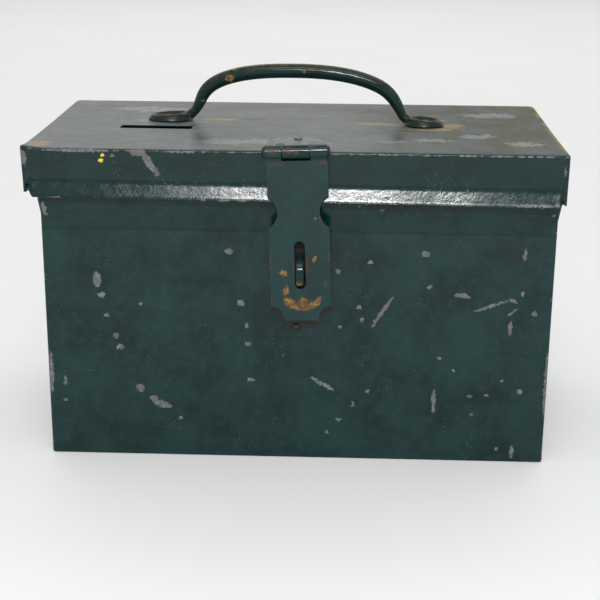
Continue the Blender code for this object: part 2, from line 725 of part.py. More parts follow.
def make_staple():
    """Square-bar loop; its legs run through the plate and the wall and end just inside."""
    outer = STAPLE_RADIUS
    inner = STAPLE_RADIUS - STAPLE_BAR
    crown = -(STAPLE_REACH - outer)
    end = SHEET + 1.6 * MM
    outline = [(end, outer)]
    outline += arc((crown, 0.0), (outer, outer), 90.0, 270.0, 14)
    outline += [(end, -outer), (end, -inner)]
    outline += arc((crown, 0.0), (inner, inner), 270.0, 90.0, 12)
    outline.append((end, inner))
    bm = bmesh.new()
    prism(bm, outline, -STAPLE_WIDTH / 2, STAPLE_WIDTH / 2, "X")
    staple = add_object("staple", bm, WORN_ENAMEL, STAPLE_FRAME, smooth_angle=35.0)
    bevel(staple, 0.8 * MM, 2)
    return staple


# --- rear hinges --------------------------------------------------------------------------
def hinge_rivet_places(side):
    """Outer faces of the leaves: on the lid's rear skirt or on the back panel."""
    if side == "lid":
        y = LID_BACK + GAP + HINGE_SHEET
        z = 209.0 * MM
    else:
        y = BODY_HALF_DEPTH + GAP + HINGE_SHEET
        z = 162.0 * MM
    return [Vector((centre + dx, y, z)) for centre in HINGE_X for dx in (-HINGE_RIVET_X, HINGE_RIVET_X)]


def make_hinge_punch():
    bm = bmesh.new()
    for place in hinge_rivet_places("body"):
        hole(bm, place, REARWARD, 10.0 * MM)
    return add_tool("hinge_punch", bm)


def leaf_strip(bm, line, x_low, x_high, thickness):
    """A strip of sheet whose side view follows a line of (y, z), thickened to the rear."""
    back = []
    for i, (y, z) in enumerate(line):
        before = line[max(0, i - 1)]
        after = line[min(len(line) - 1, i + 1)]
        along = Vector((after[0] - before[0], after[1] - before[1])).normalized()
        back.append((y + along.y * thickness, z - along.x * thickness))
    prism(bm, line + list(reversed(back)), x_low, x_high, "X")


def make_hinge(name, centre):
    half = HINGE_HALF_WIDTH
    middle = HINGE_MIDDLE
    wall_y = LID_BACK + GAP
    lid_line = [(wall_y, HINGE_AXIS_Z + 0.6 * MM), (wall_y, HINGE_LEAF_TOP)]
    bm = bmesh.new()
    leaf_strip(bm, lid_line, centre - middle, centre + middle, HINGE_SHEET)
    lid_leaf = add_object("hinge_lid_leaf_" + name, bm, ENAMEL)
    on_lid(lid_leaf)
    bm = bmesh.new()
    skirt = HINGE_AXIS_Z + HINGE_KNUCKLE + 0.9 * MM
    outline = [(centre - half, skirt), (centre + half, skirt)]
    corner = 4.0 * MM
    middle_z = HINGE_LEAF_TOP - corner
    outline += arc((centre + half - corner, middle_z), (corner, corner), 0.0, 90.0, 4)
    outline += arc((centre - half + corner, middle_z), (corner, corner), 90.0, 180.0, 4)
    prism(bm, outline, wall_y, wall_y + HINGE_SHEET, "Y")
    tool = add_tool("hinge_lid_plate_" + name, bm)
    on_lid(tool)
    boolean(lid_leaf, tool, "UNION")
    bm = bmesh.new()
    tube(bm, centre - middle, centre + middle, HINGE_KNUCKLE, HINGE_BORE, 14)
    tool = add_tool("hinge_lid_knuckle_" + name, bm, None, (0.0, HINGE_AXIS_Y, HINGE_AXIS_Z))
    on_lid(tool)
    boolean(lid_leaf, tool, "UNION")
    boolean(lid_leaf, LID_PUNCH, "DIFFERENCE")

    panel_y = BODY_HALF_DEPTH + GAP
    crank = wall_y - panel_y
    line = [(panel_y, HINGE_LEAF_BOTTOM), (panel_y, 178.0 * MM)]
    line += [(panel_y + crank * 0.5, 180.6 * MM), (wall_y, 183.4 * MM), (wall_y, HINGE_AXIS_Z - 0.6 * MM)]
    bm = bmesh.new()
    leaf_strip(bm, line, centre - half, centre + half, HINGE_SHEET)
    body_leaf = add_object("hinge_body_leaf_" + name, bm, ENAMEL)
    bm = bmesh.new()
    window = middle + KNUCKLE_GAP
    top = HINGE_AXIS_Z - HINGE_KNUCKLE - 0.9 * MM
    prism(bm, [(-window, top), (window, top), (window, top + 9.0 * MM), (-window, top + 9.0 * MM)],
          wall_y - 6.0 * MM, wall_y + 9.0 * MM, "Y")
    tool = add_tool("hinge_window_" + name, bm, None, (centre, 0.0, 0.0))
    boolean(body_leaf, tool, "DIFFERENCE")
    bm = bmesh.new()
    tube(bm, centre - half, centre - window, HINGE_KNUCKLE, HINGE_BORE, 14)
    tube(bm, centre + window, centre + half, HINGE_KNUCKLE, HINGE_BORE, 14)
    tool = add_tool("hinge_body_knuckles_" + name, bm, None, (0.0, HINGE_AXIS_Y, HINGE_AXIS_Z))
    boolean(body_leaf, tool, "UNION")
    boolean(body_leaf, HINGE_PUNCH, "DIFFERENCE")

    reach = half + GAP
    r = HINGE_PIN_RADIUS
    head = HINGE_KNUCKLE * 0.85
    end = [(0.0, reach + 1.2 * MM), (head * 0.7, reach + 0.9 * MM), (head, reach)]
    profile = end + [(r, reach), (r, -reach)] + [(radius, -height) for radius, height in reversed(end)]
    bm = bmesh.new()
    lathe(bm, profile, 12, Matrix.Rotation(math.pi / 2, 4, "Y"))
    add_object("hinge_pin_" + name, bm, PIN_STEEL, None, (centre, HINGE_AXIS_Y, HINGE_AXIS_Z))


def make_hinge_rivets():
    grip = HINGE_SHEET + GAP + SHEET
    add_rivets("hinge_lid_rivet", hinge_rivet_places("lid"), REARWARD, grip, ENAMEL, parent=LID)
    add_rivets("hinge_body_rivet", hinge_rivet_places("body"), REARWARD, grip, ENAMEL)


# --- assembly -----------------------------------------------------------------------------
clear_scene()

ENAMEL = make_material("green_enamel", (0.026, 0.050, 0.046), 0.32, 0.0)
WORN_ENAMEL = make_material("worn_green_enamel", (0.036, 0.062, 0.058), 0.38, 0.1)
BROWN_STEEL = make_material("browned_steel", (0.035, 0.024, 0.020), 0.6, 0.6)
PIN_STEEL = make_material("dark_pin_steel", (0.03, 0.035, 0.035), 0.45, 0.7)

LID = add_empty("lid_pivot", LID_PIVOT)
HASP_SEAT = add_empty("hasp_seat", HASP_PIN - LID_PIVOT, HASP_TILT, LID)
HASP_PIVOT = add_empty("hasp_pivot", (0.0, 0.0, 0.0), 0.0, HASP_SEAT)
STAPLE_FRAME = add_empty("staple_frame", STAPLE_SEAT, HASP_TILT)

PLATE_PUNCH = make_plate_punch()
HINGE_PUNCH = make_hinge_punch()
LID_PUNCH = make_lid_punch()

make_wrapper()
make_back_panel()
make_bottom_pan()
make_lid_shell()
make_handle()
make_handle_rivets()
make_hasp_leaf()
make_leaf_rivets()
make_hasp_pin()
make_hasp_strap()
make_staple_plate()
make_staple()
make_plate_rivets()
for hinge_name, hinge_centre in zip(("left", "right"), HINGE_X):
    make_hinge(hinge_name, hinge_centre)
make_hinge_rivets()
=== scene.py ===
"""The enamelled donation box's looks: fine sheet metal, paint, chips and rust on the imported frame."""

import json
from functools import partialmethod
from math import asin, atan2, copysign, cos, degrees, exp, pi, radians, sin, sqrt

import bmesh
import bpy
from mathutils import Matrix, Vector, noise


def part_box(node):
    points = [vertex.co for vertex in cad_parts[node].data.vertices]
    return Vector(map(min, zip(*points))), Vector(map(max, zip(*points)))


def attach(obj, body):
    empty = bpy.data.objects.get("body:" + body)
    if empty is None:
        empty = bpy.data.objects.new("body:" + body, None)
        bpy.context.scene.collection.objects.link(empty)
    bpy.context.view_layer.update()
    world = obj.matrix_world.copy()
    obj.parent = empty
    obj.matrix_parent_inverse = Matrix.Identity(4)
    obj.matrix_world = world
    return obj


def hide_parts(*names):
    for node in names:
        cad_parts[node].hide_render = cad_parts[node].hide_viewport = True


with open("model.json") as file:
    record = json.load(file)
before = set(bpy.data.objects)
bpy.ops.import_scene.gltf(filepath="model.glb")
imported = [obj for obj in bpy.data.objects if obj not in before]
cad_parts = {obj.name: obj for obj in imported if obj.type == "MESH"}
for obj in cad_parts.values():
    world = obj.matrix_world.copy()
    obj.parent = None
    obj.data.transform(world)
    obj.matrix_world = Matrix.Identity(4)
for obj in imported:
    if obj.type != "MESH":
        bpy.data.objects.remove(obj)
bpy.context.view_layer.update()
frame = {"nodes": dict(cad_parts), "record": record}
RECORD = frame["record"]
BODY_OF = {node: body for body, nodes in RECORD["behaviour"]["bodies"].items() for node in nodes}

MM = 0.001
X_AXIS = Vector((1, 0, 0))
Y_AXIS = Vector((0, 1, 0))
Z_AXIS = Vector((0, 0, 1))
ALONG_X = Matrix.Rotation(pi / 2, 4, "Y")

# --- sizes, from the frame where it has them --------------------------------------------------
SHEET = 0.9 * MM
GAP = 0.3 * MM

WALL_LOW, WALL_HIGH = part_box("body_wrapper")
FLARE_OUT = 1.8 * MM
BODY_HALF_WIDTH = WALL_HIGH.x - FLARE_OUT
BODY_FRONT = WALL_LOW.y + FLARE_OUT
BODY_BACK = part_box("back_panel")[1].y
BODY_RIM = WALL_HIGH.z
BODY_CORNER = 2.2 * MM
BODY_FOOT_ROLL = 1.3 * MM
CREASE = 168 * MM
FLARE_END = 187 * MM
CREASE_CLIMB = 9 * MM
CREASE_RUN = 6 * MM
REAR_FLANGE = 15 * MM
WALL_WAVE = 0.45 * MM            # depth of the walls' long and short unevenness
WALL_RIPPLE = 0.16 * MM
PANEL_HOLLOW = 0.5 * MM

LID_LOW, LID_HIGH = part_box("lid_shell")
LIP_OUT = 4.1 * MM
LID_FRONT = LID_LOW.y + LIP_OUT
LID_TOP = LID_HIGH.z
LID_FOLD = 1.5 * MM
LID_FRONT_CORNER = 2.2 * MM
LID_REAR_CORNER = 4.5 * MM
LID_SKIRT = 193.6 * MM
LIP_START = 203.8 * MM
LIP_BREAK = 200 * MM           # where the lip's straight slope begins
LIP_FOOT = 193 * MM            # where the slope ends and the rolled hem begins
HEM_RADIUS = 0.95 * MM
FLAP_SETBACK = 1 * MM          # the side skirts' tabs lie this far behind the front skirt
FLAP_LEFT = 2.8 * MM             # front skirt's ends, in from the lid's corners
FLAP_RIGHT = 3.4 * MM
COIN_SLOT = ((-132 * MM, -22 * MM), (-80 * MM, -10 * MM))
SKIRT_LEAN = 0.9 * MM            # how far the plain skirts lean in
SKIRT_DROP = 3 * MM            # how much deeper the skirt is at the right
TOP_RISE = 0.9 * MM              # from the middle of the top to its rear
CORNER_LIFT = 1.5 * MM           # of the left front corner

HANDLE_CENTRE = Vector((-3 * MM, 9.5 * MM, 0))
HANDLE_SKEW = radians(-3)
HANDLE_HALF_SPAN = 77.2 * MM
HANDLE_BASE = 228 * MM
HANDLE_CROWN = 262.3 * MM
HANDLE_POWERS = (2.6, 2.25)      # left and right of the crown; 2 would be an ellipse, more is squarer
HANDLE_LEANS = (1.7 * MM, 2.5 * MM)
HANDLE_FLARES = (3.6 * MM, 2 * MM)
NECK_START = 6.4 * MM            # height above the lid at which the leg turns into the foot
GRIP_RADIUS = 5.3 * MM
NECK_RADIUS = 3 * MM
FOOT_CENTRES = (-96.7 * MM, 92.4 * MM)
FOOT_HALF_LENGTHS = (16.8 * MM, 14.6 * MM)
FOOT_HALF_WIDTH = 13.2 * MM
FOOT_HEIGHT = 5.2 * MM
FOOT_DISH = 2 * MM
FOOT_SEAT = LID_TOP + GAP
# Profile of a foot's rim, as shares of its half length and its height.
FOOT_RIM = [(0.58, 0.58), (0.67, 0.88), (0.74, 1), (0.8, 0.97), (0.88, 0.78), (0.95, 0.46), (1, 0.14)]
# From inside the foot up to the neck, in millimetres from the leg's root: x, height, radius.
NECK = [(11, 2.2, 2.2), (7.2, 2.9, 2.8), (4.2, 3.6, 3.3), (2, 4.6, 3.5)]
HANDLE_STEPS = 48

HASP_TILT = radians(-2.1)
HASP_PIN = Vector((-1.2 * MM, -106.5 * MM, 225 * MM))
HASP_SHEET = 1.8 * MM
KNUCKLE = 4.65 * MM
BORE = 2.85 * MM
BARREL_HALF = 20.5 * MM
MIDDLE_HALF = 8.8 * MM           # half length of the leaf's knuckle
MIDDLE_GAP = 0.4 * MM
EASE = 0.02 * MM                 # keeps the knuckles' skins off the sheets they grow from
STRAP_HALF_WIDTH = 20.5 * MM
STRAP_OFFSET = 0.6 * MM
STRAP_BOTTOM = -116.8 * MM
STRAP_FRONT = -1.5 * MM          # strap's front face, against the pin
STRAP_NECK = -5.8 * MM
NOTCH_CENTRE = -40.7 * MM
NOTCH_HALF_HEIGHT = 11 * MM
NOTCH_DEPTH = 6.3 * MM
CLIP = (9 * MM, 10.5 * MM)
SLOT_CENTRE = -77.5 * MM
SLOT_LENGTH = 33.4 * MM
SLOT_WIDTH = 7.4 * MM
LEAF_HALF_WIDTH = 20.5 * MM
LEAF_STRAIGHT = 20 * MM
LEAF_LENGTH = 53 * MM
LEAF_NOTCH = 8 * MM

STAPLE_SEAT = Vector((2.4 * MM, BODY_FRONT, 143.4 * MM))
STAPLE_WIDTH = 5.4 * MM
STAPLE_BAR = 4.2 * MM
STAPLE_RADIUS = 9.9 * MM
STAPLE_REACH = 23.5 * MM
PLATE_SHEET = 1.5 * MM
PLATE_LOW = -43.6 * MM
PLATE_HIGH = 22.5 * MM
PLATE_EAR = 3.1 * MM
PLATE_EAR_X = -4.5 * MM

HINGE_SHEET = 1.2 * MM
HINGE_KNUCKLE = 2.95 * MM
HINGE_BORE = 1.75 * MM
HINGE_MIDDLE = 8 * MM
# The body leaf's crank: share of its depth, and height in millimetres.
HINGE_CRANK = [(0, 177.5), (0.12, 179), (0.5, 180.7), (0.88, 182.4), (1, 184)]
RIVET_DOME = 1.35 * MM
RIVETS = [
    ("handle_rivet", Z_AXIS, "leaf"), ("hasp_leaf_rivet", Z_AXIS, "leaf"),
    ("staple_plate_rivet", -Y_AXIS, "brown"), ("hinge_lid_rivet", Y_AXIS, "panel"),
    ("hinge_body_rivet", Y_AXIS, "panel"),
]

# How worn the paint is, from 0 to 1, on the sheets' bends and folds.
BEND_WEAR = 0.75
FOLD_WEAR = 0.62
# The front and rear folds' lower bend is worn pale in dashes; this wear also stands in as a painted
# highlight along the bend.
FRONT_FOLD_WEAR_AND_HIGHLIGHT = 0.95
TOP_WEAR = 0.12


# --- mesh helpers -----------------------------------------------------------------------------
def spread(start, end, step, fine=()):
    """Even values from start to end, with extra ones at given distances from both ends."""
    count = max(1, round(abs(end - start) / step))
    values = [start + (end - start) * i / count for i in range(count + 1)]
    sign = 1 if end > start else -1
    reach = max(fine, default=0) + step * 0.4
    values = [v for v in values if reach < abs(v - start) and reach < abs(v - end)]
    values += [start, end] + [start + sign * d for d in fine] + [end - sign * d for d in fine]
    return sorted(values, reverse=end < start)


def arc(centre, radius, start, end, steps):
    """Points of an elliptic arc in a plane, angles in degrees, both ends included."""
    points = []
    for i in range(steps + 1):
        a = radians(start + (end - start) * i / steps)
        points.append((centre[0] + radius[0] * cos(a), centre[1] + radius[1] * sin(a)))
    return points


def smooth(value, low, high):
    """Smooth step from 0 at low to 1 at high; low may be the larger."""
    t = min(1, max(0, (value - low) / (high - low)))
    return t * t * (3 - 2 * t)


def dents(u, v, spots):
    """Depth at a point of a wall with soft dents: each is (u, v, reach u, reach v, depth)."""
    return sum(d * exp(-((u - a) / ra) ** 2 - ((v - b) / rb) ** 2) for a, b, ra, rb, d in spots)


def ripple(point, size, seed):
    """Smooth unevenness from -1 to 1, its features about size across."""
    return noise.noise(point / size + Vector((seed, seed * 0.7, -seed)))


def skin(bm, rows, closed):
    """Join rows of (point, wear) into a surface. The wear of each point is kept as an attribute."""
    layer = bm.verts.layers.float.get("wear") or bm.verts.layers.float.new("wear")
    rings = []
    for row in rows:
        ring = []
        for point, wear in row:
            vert = bm.verts.new(point)
            vert[layer] = wear
            ring.append(vert)
        rings.append(ring)
    for a, b in zip(rings, rings[1:]):
        count = len(a)
        for i in range(count if closed else count - 1):
            j = (i + 1) % count
            bm.faces.new((a[i], a[j], b[j], b[i]))


def face_outwards(bm, direction):
    """Turn an open surface so that its furthest face along a direction looks that way."""
    bm.normal_update()
    furthest = max(bm.faces, key=lambda f: f.calc_center_median().dot(direction))
    if furthest.normal.dot(direction) < 0:
        bmesh.ops.reverse_faces(bm, faces=bm.faces)


def prism(bm, outline, low, high, axis, matrix=None):
    """Extrude a plane outline along an axis: (x, z) points for Y, (x, y) for Z, (y, z) for X."""
    place = {
        "X": lambda u, v, w: Vector((w, u, v)),
        "Y": lambda u, v, w: Vector((u, w, v)),
        "Z": lambda u, v, w: Vector((u, v, w)),
    }[axis]
    matrix = matrix or Matrix.Identity(4)
    near = [bm.verts.new(matrix @ place(u, v, low)) for u, v in outline]
    far = [bm.verts.new(matrix @ place(u, v, high)) for u, v in outline]
    faces = [bm.faces.new(near), bm.faces.new(list(reversed(far)))]
    for i in range(len(outline)):
        j = (i + 1) % len(outline)
        faces.append(bm.faces.new((near[j], near[i], far[i], far[j])))
    bmesh.ops.recalc_face_normals(bm, faces=faces)


def lathe(bm, profile, segments, matrix):
    """Turn a profile of (radius, height) round Z; it starts and ends on the axis."""
    first = bm.verts.new(matrix @ Vector((0, 0, profile[0][1])))
    last = bm.verts.new(matrix @ Vector((0, 0, profile[-1][1])))
    rings = []
    for radius, height in profile[1:-1]:
        ring = arc((0, 0), (radius, radius), 0, 360, segments)[:-1]
        rings.append([bm.verts.new(matrix @ Vector((x, y, height))) for x, y in ring])
    faces = []
    for i in range(segments):
        j = (i + 1) % segments
        faces.append(bm.faces.new((first, rings[0][i], rings[0][j])))
        faces.append(bm.faces.new((rings[-1][i], last, rings[-1][j])))
        for a, b in zip(rings, rings[1:]):
            faces.append(bm.faces.new((a[i], b[i], b[j], a[j])))
    bmesh.ops.recalc_face_normals(bm, faces=faces)


def sweep(bm, line, section):
    """Carry a section of (across, up) points along a line of (centre, across axis, up axis, scale)."""
    rings = []
    for centre, across, up, scale in line:
        ring = [centre + across * (u * scale) + up * (v * scale) for u, v in section]
        rings.append([bm.verts.new(point) for point in ring])
    faces = [bm.faces.new(rings[0]), bm.faces.new(list(reversed(rings[-1])))]
    for a, b in zip(rings, rings[1:]):
        for i in range(len(section)):
            j = (i + 1) % len(section)
            faces.append(bm.faces.new((a[j], a[i], b[i], b[j])))
    bmesh.ops.recalc_face_normals(bm, faces=faces)


def round_corner(centre, radius, start, steps, *tags):
    """A quarter circle in plan: (x, y, outward x, outward y, *tags)."""
    points = []
    for i in range(steps + 1):
        a = radians(start + 90 * i / steps)
        nx, ny = cos(a), sin(a)
        points.append((centre[0] + radius * nx, centre[1] + radius * ny, nx, ny, *tags))
    return points


def rounded_section(width, height, corner, steps=4):
    """A rectangle with round corners, as (across, up) points."""
    points = []
    for start, su, sv in ((0, 1, 1), (90, -1, 1), (180, -1, -1), (270, 1, -1)):
        centre = (su * (width / 2 - corner), sv * (height / 2 - corner))
        points += arc(centre, (corner, corner), start, start + 90, steps)
    return points


def dome(radius, rise, base, angles):
    """Profile of a domed head for lathe(), from its crown on the axis to its rim."""
    points = [(0, base + rise)]
    for angle in angles:
        a = radians(angle)
        points.append((radius * sin(a), base + rise * cos(a)))
    return points


def headed_pin(head, rise, shank, reach, angles):
    """Profile of a pin with a domed head at each end, reach away from its middle."""
    end = dome(head, rise, reach, angles)
    return end + [(shank, reach), (shank, -reach)] + [(radius, -height) for radius, height in end[::-1]]


def new_object(name, bm):
    mesh = bpy.data.meshes.new(name)
    bm.to_mesh(mesh)
    bm.free()
    obj = bpy.data.objects.new(name, mesh)
    bpy.context.scene.collection.objects.link(obj)
    return obj


def solid(name, build, *args):
    """An object made by one builder, called as build(bm, *args)."""
    bm = bmesh.new()
    build(bm, *args)
    return new_object(name, bm)


def boolean(target, operation, build, *args):
    """Add a Boolean, whose tool is made as in solid() and goes once the target is settled."""
    tool = solid(target.name + ".tool", build, *args)
    tool.hide_render = True
    modifier = target.modifiers.new("cut", "BOOLEAN")
    modifier.object = tool
    modifier.operation = operation
    modifier.solver = "EXACT"


def thicken(target, thickness=SHEET):
    modifier = target.modifiers.new("sheet", "SOLIDIFY")
    modifier.thickness = thickness
    modifier.offset = -1
    modifier.use_even_offset = True


def bevel(target, width, segments=3, angle=35, material=-1):
    modifier = target.modifiers.new("edges", "BEVEL")
    modifier.width = width
    modifier.segments = segments
    modifier.limit_method = "ANGLE"
    modifier.angle_limit = radians(angle)
    modifier.material = material
    modifier.use_clamp_overlap = True


def settle(piece, materials, node, sharp=40):
    """Keep what the modifiers made of a piece, shade it, and hang it in its CAD node's place."""
    graph = bpy.context.evaluated_depsgraph_get()
    mesh = bpy.data.meshes.new_from_object(piece.evaluated_get(graph))
    tools = [m.object for m in piece.modifiers if m.type == "BOOLEAN"]
    piece.modifiers.clear()
    piece.data = mesh
    for tool in tools:
        bpy.data.objects.remove(tool, do_unlink=True)
    mesh.materials.clear()
    for material in materials:
        mesh.materials.append(material)
    mesh.shade_smooth()
    mesh.set_sharp_from_angle(angle=radians(sharp))
    weigh = piece.modifiers.new("normals", "WEIGHTED_NORMAL")
    weigh.keep_sharp = True
    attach(piece, BODY_OF[node])
    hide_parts(node)
    return piece


# --- materials --------------------------------------------------------------------------------
class Paint:
    """A node material under construction, with short ways to add its nodes."""

    def __init__(self, name):
        self.material = bpy.data.materials.new(name)
        self.material.use_nodes = True
        self.tree = self.material.node_tree
        self.shader = self.tree.nodes["Principled BSDF"]
        coordinates = self.node("ShaderNodeTexCoord").outputs
        self.place = coordinates["Object"]
        self.x, self.y, self.z = self.node("ShaderNodeSeparateXYZ", {0: self.place}).outputs
        normal = self.node("ShaderNodeSeparateXYZ", {0: coordinates["Normal"]}).outputs
        self.forward = self.step(normal[1], -0.05, -0.35)
        self.upward = self.step(normal[2], 0.05, 0.55)

    def feed(self, socket, value):
        """Link a socket, or set its value; a plain colour has three numbers."""
        if isinstance(value, bpy.types.NodeSocket):
            self.tree.links.new(value, socket)
        else:
            socket.default_value = (*value, 1) if socket.type == "RGBA" else value

    def node(self, kind, feeds=None, **settings):
        """Add a node with its settings, and feed its inputs, named or numbered."""
        node = self.tree.nodes.new(kind)
        for key, value in settings.items():
            setattr(node, key, value)
        for key, value in (feeds or {}).items():
            self.feed(node.inputs[key], value)
        return node

    def math(self, operation, *values):
        """One value worked out with the next, from left to right."""
        result = values[0]
        for value in values[1:] or (0,):
            result = self.node("ShaderNodeMath", {0: result, 1: value}, operation=operation).outputs[0]
        return result

    plus = partialmethod(math, "ADD")
    minus = partialmethod(math, "SUBTRACT")
    times = partialmethod(math, "MULTIPLY")
    most = partialmethod(math, "MAXIMUM")
    least = partialmethod(math, "MINIMUM")
    magnitude = partialmethod(math, "ABSOLUTE")

    def step(self, value, low, high):
        """Smooth step from 0 at low to 1 at high."""
        feeds = {"Value": value, "From Min": low, "From Max": high}
        return self.node("ShaderNodeMapRange", feeds, interpolation_type="SMOOTHSTEP").outputs[0]

    def noise(self, size, detail=3, rough=0.55, stretch=(1, 1, 1), output="Fac", warp=0):
        """Fractal noise with features about size across, longer along an axis with a larger stretch."""
        scale = [1 / (size * s) for s in stretch]
        mapping = self.node("ShaderNodeMapping", {"Vector": self.place, "Scale": scale})
        feeds = {"Vector": mapping.outputs[0], "Scale": 1}
        feeds |= {"Detail": detail, "Roughness": rough, "Distortion": warp}
        return self.node("ShaderNodeTexNoise", feeds).outputs[output]

    def mix(self, factor, a, b):
        """Mix two colours."""
        return self.node("ShaderNodeMix", {0: factor, 6: a, 7: b}, data_type="RGBA").outputs[2]

    def blend(self, factor, a, b):
        """Mix two numbers."""
        return self.node("ShaderNodeMix", {0: factor, 2: a, 3: b}, data_type="FLOAT").outputs[0]

    def blotches(self, marks, ragged=2.6 * MM, grain=2.2 * MM, edge=0.14):
        """A mask of ragged ellipses: each is (centre, half sizes, turn as Euler angles)."""
        drift = self.noise(grain, 4, 0.65, output="Color")
        feeds = {0: drift, 1: [2 * ragged] * 3, 2: [-ragged] * 3}
        shift = self.node("ShaderNodeVectorMath", feeds, operation="MULTIPLY_ADD")
        place = self.node("ShaderNodeVectorMath", {0: self.place, 1: shift.outputs[0]}, operation="ADD")
        distances = []
        for centre, half, turn in marks:
            feeds = {"Vector": place.outputs[0], "Location": centre, "Rotation": turn, "Scale": half}
            mapping = self.node("ShaderNodeMapping", feeds, vector_type="TEXTURE")
            length = self.node("ShaderNodeVectorMath", {0: mapping.outputs[0]}, operation="LENGTH")
            distances.append(length.outputs["Value"])
        nearest = self.least(*distances) if len(distances) > 1 else distances[0]
        return self.step(nearest, 0.9 + edge, 0.9 - edge)

    def finish(self, colour, roughness, height, specular=0.5):
        """Feed the shader; height is in millimetres."""
        bump = self.node("ShaderNodeBump", {"Strength": 1, "Distance": MM, "Height": height})
        self.feed(self.shader.inputs["Base Color"], colour)
        self.feed(self.shader.inputs["Roughness"], roughness)
        self.feed(self.shader.inputs["Normal"], bump.outputs[0])
        self.shader.inputs["Specular IOR Level"].default_value = specular
        self.material.diffuse_color = VIEWPORT_GREEN
        return self.material


def on_front(y, marks):
    """Marks on a face that looks forward, each (x, z, half width, half height, turn or nothing) in mm."""
    return [((x * MM, y, z * MM), (w * MM, 9 * MM, h * MM), (0, radians(turn), 0))
            for x, z, w, h, turn in ((*mark, 0)[:5] for mark in marks)]


def on_top(z, marks):
    """Marks on a face that looks up, each (x, y, half width, half depth, turn or nothing) in mm."""
    return [((x * MM, y * MM, z), (w * MM, d * MM, 5 * MM), (0, 0, radians(turn)))
            for x, y, w, d, turn in ((*mark, 0)[:5] for mark in marks)]


GREEN = (0.0048, 0.0275, 0.0262)
GREEN_PALE = (0.0110, 0.0390, 0.0375)
GREEN_DARK = (0.0014, 0.0145, 0.0138)
PRIMER = (0.150, 0.160, 0.166)
PRIMER_DARK = (0.085, 0.093, 0.096)
BARE = (0.120, 0.098, 0.098)
OCHRE = (0.265, 0.150, 0.028)
OCHRE_DARK = (0.130, 0.062, 0.024)
YELLOW = (0.560, 0.450, 0.060)
RUST = (0.085, 0.036, 0.020)
TAN = (0.270, 0.200, 0.095)
OLIVE = (0.066, 0.062, 0.030)
OLIVE_DARK = (0.032, 0.034, 0.020)
FOOT_STAIN = (0.0062, 0.0125, 0.0088)
EDGE_YELLOW = (0.200, 0.170, 0.045)
DUST = (0.142, 0.156, 0.151)
DUST_DARK = (0.060, 0.070, 0.066)
PALE_PATCH = (0.260, 0.265, 0.270)
# Pale colour of the nibs: a painted glint, not a paint colour.
NIB_GLINT = (0.085, 0.115, 0.112)
ENAMEL_SPECULAR = 0.26
VIEWPORT_GREEN = (0.03, 0.06, 0.055, 1)
# How far marks stand out of or into the paint, in millimetres.
NIB_HEIGHT = 0.03
OUTLINE_HEIGHT = 0.10
CREASE_DEPTH = 0.16
CHIP_DEPTH = 0.07
OCHRE_DEPTH = 0.05


def dust_over(p, colour, rough, pale, olive, tan, amount):
    """The lid's top: dulled by dust and scuffs, with pale, olive and tan patches, and a band of painted
    shade just behind the front fold.
    """
    behind_knuckle = p.step(p.y, HASP_PIN.y + 6 * MM, HASP_PIN.y + 8 * MM)
    mask = p.times(p.step(p.z, LID_TOP - 0.9 * MM, LID_TOP - 0.1 * MM), behind_knuckle)
    mask = p.times(mask, p.step(p.z, LID_TOP + 4.6 * MM, LID_TOP + 4 * MM), p.upward, amount)
    worse = p.step(p.x, 0.02, 0.12)
    cloud = p.step(p.noise(30 * MM, 4, 0.6, stretch=(1.6, 1, 1)), 0.38, 0.64)
    patchy = p.step(p.noise(24 * MM, 6, 0.7, stretch=(0.8, 1.6, 1), warp=0.6), 0.46, 0.54)
    scuff = p.step(p.noise(9 * MM, 6, 0.72, stretch=(2, 1.2, 1), warp=0.5), 0.36, 0.66)
    streak = p.step(p.noise(3 * MM, 5, 0.65, stretch=(5, 1.4, 1)), 0.38, 0.66)
    dust = p.mix(p.blend(streak, p.times(scuff, 0.7), 1), DUST_DARK, DUST)
    dust = p.mix(p.times(worse, 0.55), dust, DUST_DARK)
    dust = p.mix(p.blend(worse, p.times(cloud, 0.25), p.times(patchy, 0.7)), dust, OLIVE)
    dust = p.mix(p.times(p.blotches(olive, 9 * MM, 11 * MM, 0.5), 0.6), dust, OLIVE)
    dust = p.mix(p.times(p.blotches(pale, 16 * MM, 8 * MM, 0.12), 0.6), dust, PALE_PATCH)
    halo = p.times(p.blotches(tan, 9 * MM, 6 * MM, 0.3), p.blend(scuff, 0.35, 1))
    dust = p.mix(halo, dust, TAN)
    spots = p.step(p.noise(2.4 * MM, 2, 0.5), 0.72, 0.78)
    dust = p.mix(p.times(spots, 0.5), dust, GREEN_DARK)
    behind = p.times(p.step(p.y, LID_HIGH.y - 6 * MM, LID_HIGH.y - 3.5 * MM), p.step(p.x, 0.04, 0.09))
    beside = p.step(p.x, LID_HIGH.x - 3 * MM, LID_HIGH.x - 0.5 * MM)
    rubbed = p.times(p.most(behind, beside), p.step(p.noise(18 * MM, 4, 0.6), 0.40, 0.52))
    dust = p.mix(rubbed, dust, EDGE_YELLOW)
    # A dark green band just behind the front fold: painted shade, where the bend turns away from the
    # light.
    fold_shade_band = p.step(p.y, LID_FRONT + 5.5 * MM, LID_FRONT + 2.5 * MM)
    dust = p.mix(p.times(fold_shade_band, 0.75), dust, GREEN_DARK)
    dull = p.blend(p.times(worse, 0.8), p.blend(streak, 0.30, 0.46), 0.64)
    return p.mix(mask, colour, dust), p.blend(mask, rough, dull)


